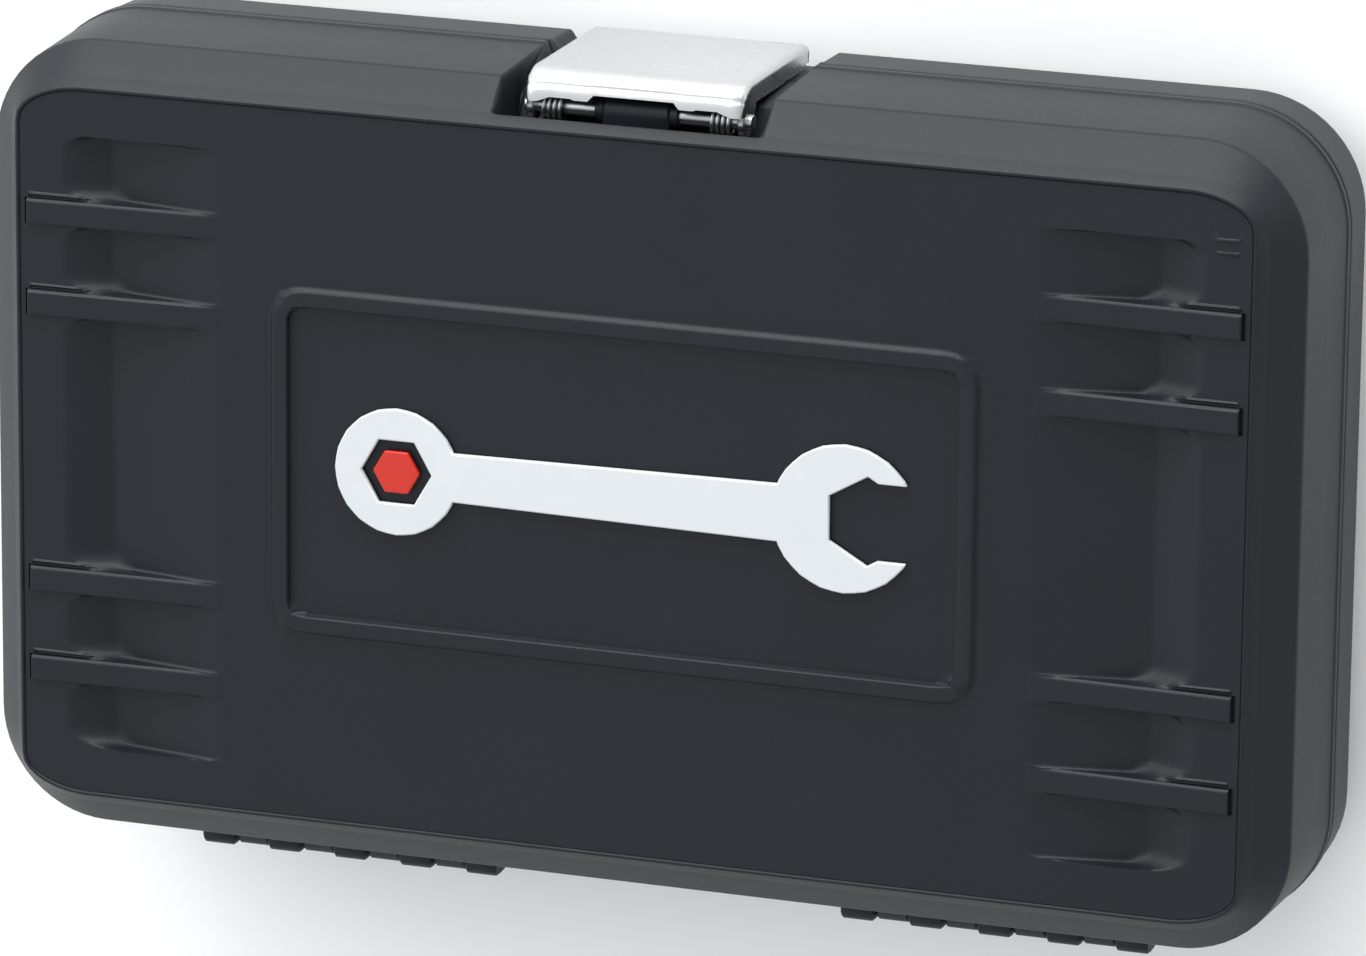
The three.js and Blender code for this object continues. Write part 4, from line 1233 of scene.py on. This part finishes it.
# ---- stage ----------------------------------------------------------------

CAMERA_PLACE = (-0.4010, -0.3505, 1.1875)
CAMERA_TURN = (-15.785, 19.049, -179.419)
LENS = 231.92
FLOOR_HALF = 3000.0    # half the width of the floor, in millimetres


def area_light(name, place, target, size, power):
    data = bpy.data.lights.new(name, "AREA")
    data.shape, data.size, data.size_y, data.energy = "RECTANGLE", size[0], size[1], power
    obj = bpy.data.objects.new(name, data)
    bpy.context.scene.collection.objects.link(obj)
    obj.location = place
    obj.rotation_euler = (Vector(target) - Vector(place)).to_track_quat("-Z", "Y").to_euler()
    return obj


def build_stage(settings):
    """The camera, the floor, the surroundings and two large lights."""
    camera = bpy.data.cameras.new("camera")
    camera.lens, camera.sensor_width = LENS, 36.0
    camera.clip_start, camera.clip_end = 0.05, 20.0
    view = bpy.data.objects.new("camera", camera)
    bpy.context.scene.collection.objects.link(view)
    view.location = CAMERA_PLACE
    view.rotation_euler = Euler([math.radians(a) for a in CAMERA_TURN])
    bpy.context.scene.camera = view
    floor = Shader("floor_paper", tuple(settings.floor_colour), 0.9)
    floor.bump(floor.noise(0.002), 0.00002)
    corners = [(x * FLOOR_HALF, y * FLOOR_HALF, -0.05) for x, y in ((-1, -1), (1, -1), (1, 1), (-1, 1))]
    mesh_object("floor", corners, [(0, 1, 2, 3)], floor.material, smooth=False)
    world = bpy.data.worlds.new("studio")
    world.use_nodes = True
    sky = Nodes(world.node_tree)
    background = world.node_tree.nodes["Background"].inputs
    east = sky.node("ShaderNodeSeparateXYZ", {}, {
        0: sky.node("ShaderNodeTexCoord", {}, {}, "Generated")}, "X")
    sky.feed(background["Color"], (0.97, 0.985, 1, 1))
    sky.feed(background["Strength"], sky.node("ShaderNodeMapRange", {}, {
        "Value": east, "From Min": -0.8, "From Max": 0.5, "To Min": 0.72, "To Max": 1.08}))
    bpy.context.scene.world = world
    area_light("key", (0.9, -0.8, 0.8), (0, 0, 0.02), (0.9, 0.9), settings.key_power)
    area_light("front", (0.1, -1.5, 0.45), (0, 0, 0.03), (1.8, 0.7), settings.key_power * 3.6)
    bpy.context.scene.view_settings.view_transform = "Standard"


class SOCKETSET_OT_lid(bpy.types.Operator):
    """Builds the moulded lid."""
    bl_idname = "socketset.lid"
    bl_label = "Lid"

    def execute(self, context):
        build_lid(context.scene.case_settings)
        return {"FINISHED"}


class SOCKETSET_OT_base(bpy.types.Operator):
    """Builds the moulded base."""
    bl_idname = "socketset.base"
    bl_label = "Base"

    def execute(self, context):
        build_base()
        return {"FINISHED"}


class SOCKETSET_OT_hinges(bpy.types.Operator):
    """Builds the hinge knuckles and their pins."""
    bl_idname = "socketset.hinges"
    bl_label = "Hinges"

    def execute(self, context):
        build_hinges(context.scene.case_settings)
        return {"FINISHED"}


class SOCKETSET_OT_latch(bpy.types.Operator):
    """Builds the latch plate, its pin and its springs."""
    bl_idname = "socketset.latch"
    bl_label = "Latch"

    def execute(self, context):
        build_latch()
        return {"FINISHED"}


class SOCKETSET_OT_badge(bpy.types.Operator):
    """Builds the enamelled wrench on the lid."""
    bl_idname = "socketset.badge"
    bl_label = "Badge"

    def execute(self, context):
        build_badge()
        return {"FINISHED"}


class SOCKETSET_OT_pad(bpy.types.Operator):
    """Builds the foam inside the lid."""
    bl_idname = "socketset.pad"
    bl_label = "Lid pad"

    def execute(self, context):
        build_pad()
        return {"FINISHED"}


class SOCKETSET_OT_tray(bpy.types.Operator):
    """Builds the five blocks of the tray."""
    bl_idname = "socketset.tray"
    bl_label = "Tray"

    def execute(self, context):
        build_tray()
        return {"FINISHED"}


class SOCKETSET_OT_sockets(bpy.types.Operator):
    """Builds the sockets."""
    bl_idname = "socketset.sockets"
    bl_label = "Sockets"

    def execute(self, context):
        build_sockets()
        return {"FINISHED"}


class SOCKETSET_OT_bars(bpy.types.Operator):
    """Builds the extension bars, the bit adapter and the T-bar."""
    bl_idname = "socketset.bars"
    bl_label = "Bars"

    def execute(self, context):
        build_bars()
        return {"FINISHED"}


class SOCKETSET_OT_bits(bpy.types.Operator):
    """Builds the screwdriver bits."""
    bl_idname = "socketset.bits"
    bl_label = "Bits"

    def execute(self, context):
        build_bits()
        return {"FINISHED"}


class SOCKETSET_OT_joint(bpy.types.Operator):
    """Builds the universal joint."""
    bl_idname = "socketset.joint"
    bl_label = "Universal joint"

    def execute(self, context):
        build_joint()
        return {"FINISHED"}


class SOCKETSET_OT_ratchet(bpy.types.Operator):
    """Builds the ratchet handle and its parts."""
    bl_idname = "socketset.ratchet"
    bl_label = "Ratchet"

    def execute(self, context):
        build_ratchet()
        return {"FINISHED"}


class SOCKETSET_OT_stage(bpy.types.Operator):
    """Builds the floor, the lights and the camera."""
    bl_idname = "socketset.stage"
    bl_label = "Stage"

    def execute(self, context):
        build_stage(context.scene.stage_settings)
        return {"FINISHED"}


STEPS = ("stage", "lid", "base", "hinges", "latch", "badge", "pad", "tray", "sockets", "bars", "bits",
         "joint", "ratchet")


class SOCKETSET_PT_build(bpy.types.Panel):
    """Lists the settings and the build steps."""
    bl_idname = "SOCKETSET_PT_build"
    bl_label = "Socket Set"
    bl_space_type, bl_region_type, bl_category = "VIEW_3D", "UI", "Socket Set"

    def draw(self, context):
        for settings in (context.scene.case_settings, context.scene.stage_settings):
            for name in settings.__annotations__:
                self.layout.prop(settings, name)
        for step in STEPS:
            self.layout.operator(f"socketset.{step}")


CLASSES = (CaseSettings, StageSettings, SOCKETSET_PT_build, SOCKETSET_OT_stage,
           SOCKETSET_OT_lid, SOCKETSET_OT_base, SOCKETSET_OT_hinges,
           SOCKETSET_OT_latch, SOCKETSET_OT_badge, SOCKETSET_OT_pad, SOCKETSET_OT_tray,
           SOCKETSET_OT_sockets, SOCKETSET_OT_bars, SOCKETSET_OT_bits,
           SOCKETSET_OT_joint, SOCKETSET_OT_ratchet)


def register():
    for cls in CLASSES:
        bpy.utils.register_class(cls)
    bpy.types.Scene.case_settings = bpy.props.PointerProperty(type=CaseSettings)
    bpy.types.Scene.stage_settings = bpy.props.PointerProperty(type=StageSettings)


def unregister():
    del bpy.types.Scene.case_settings, bpy.types.Scene.stage_settings
    for cls in reversed(CLASSES):
        bpy.utils.unregister_class(cls)


def main():
    register()
    make_materials(bpy.context.scene.case_settings)
    for step in STEPS:
        getattr(bpy.ops.socketset, step)()
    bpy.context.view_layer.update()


if __name__ == "__main__":
    main()
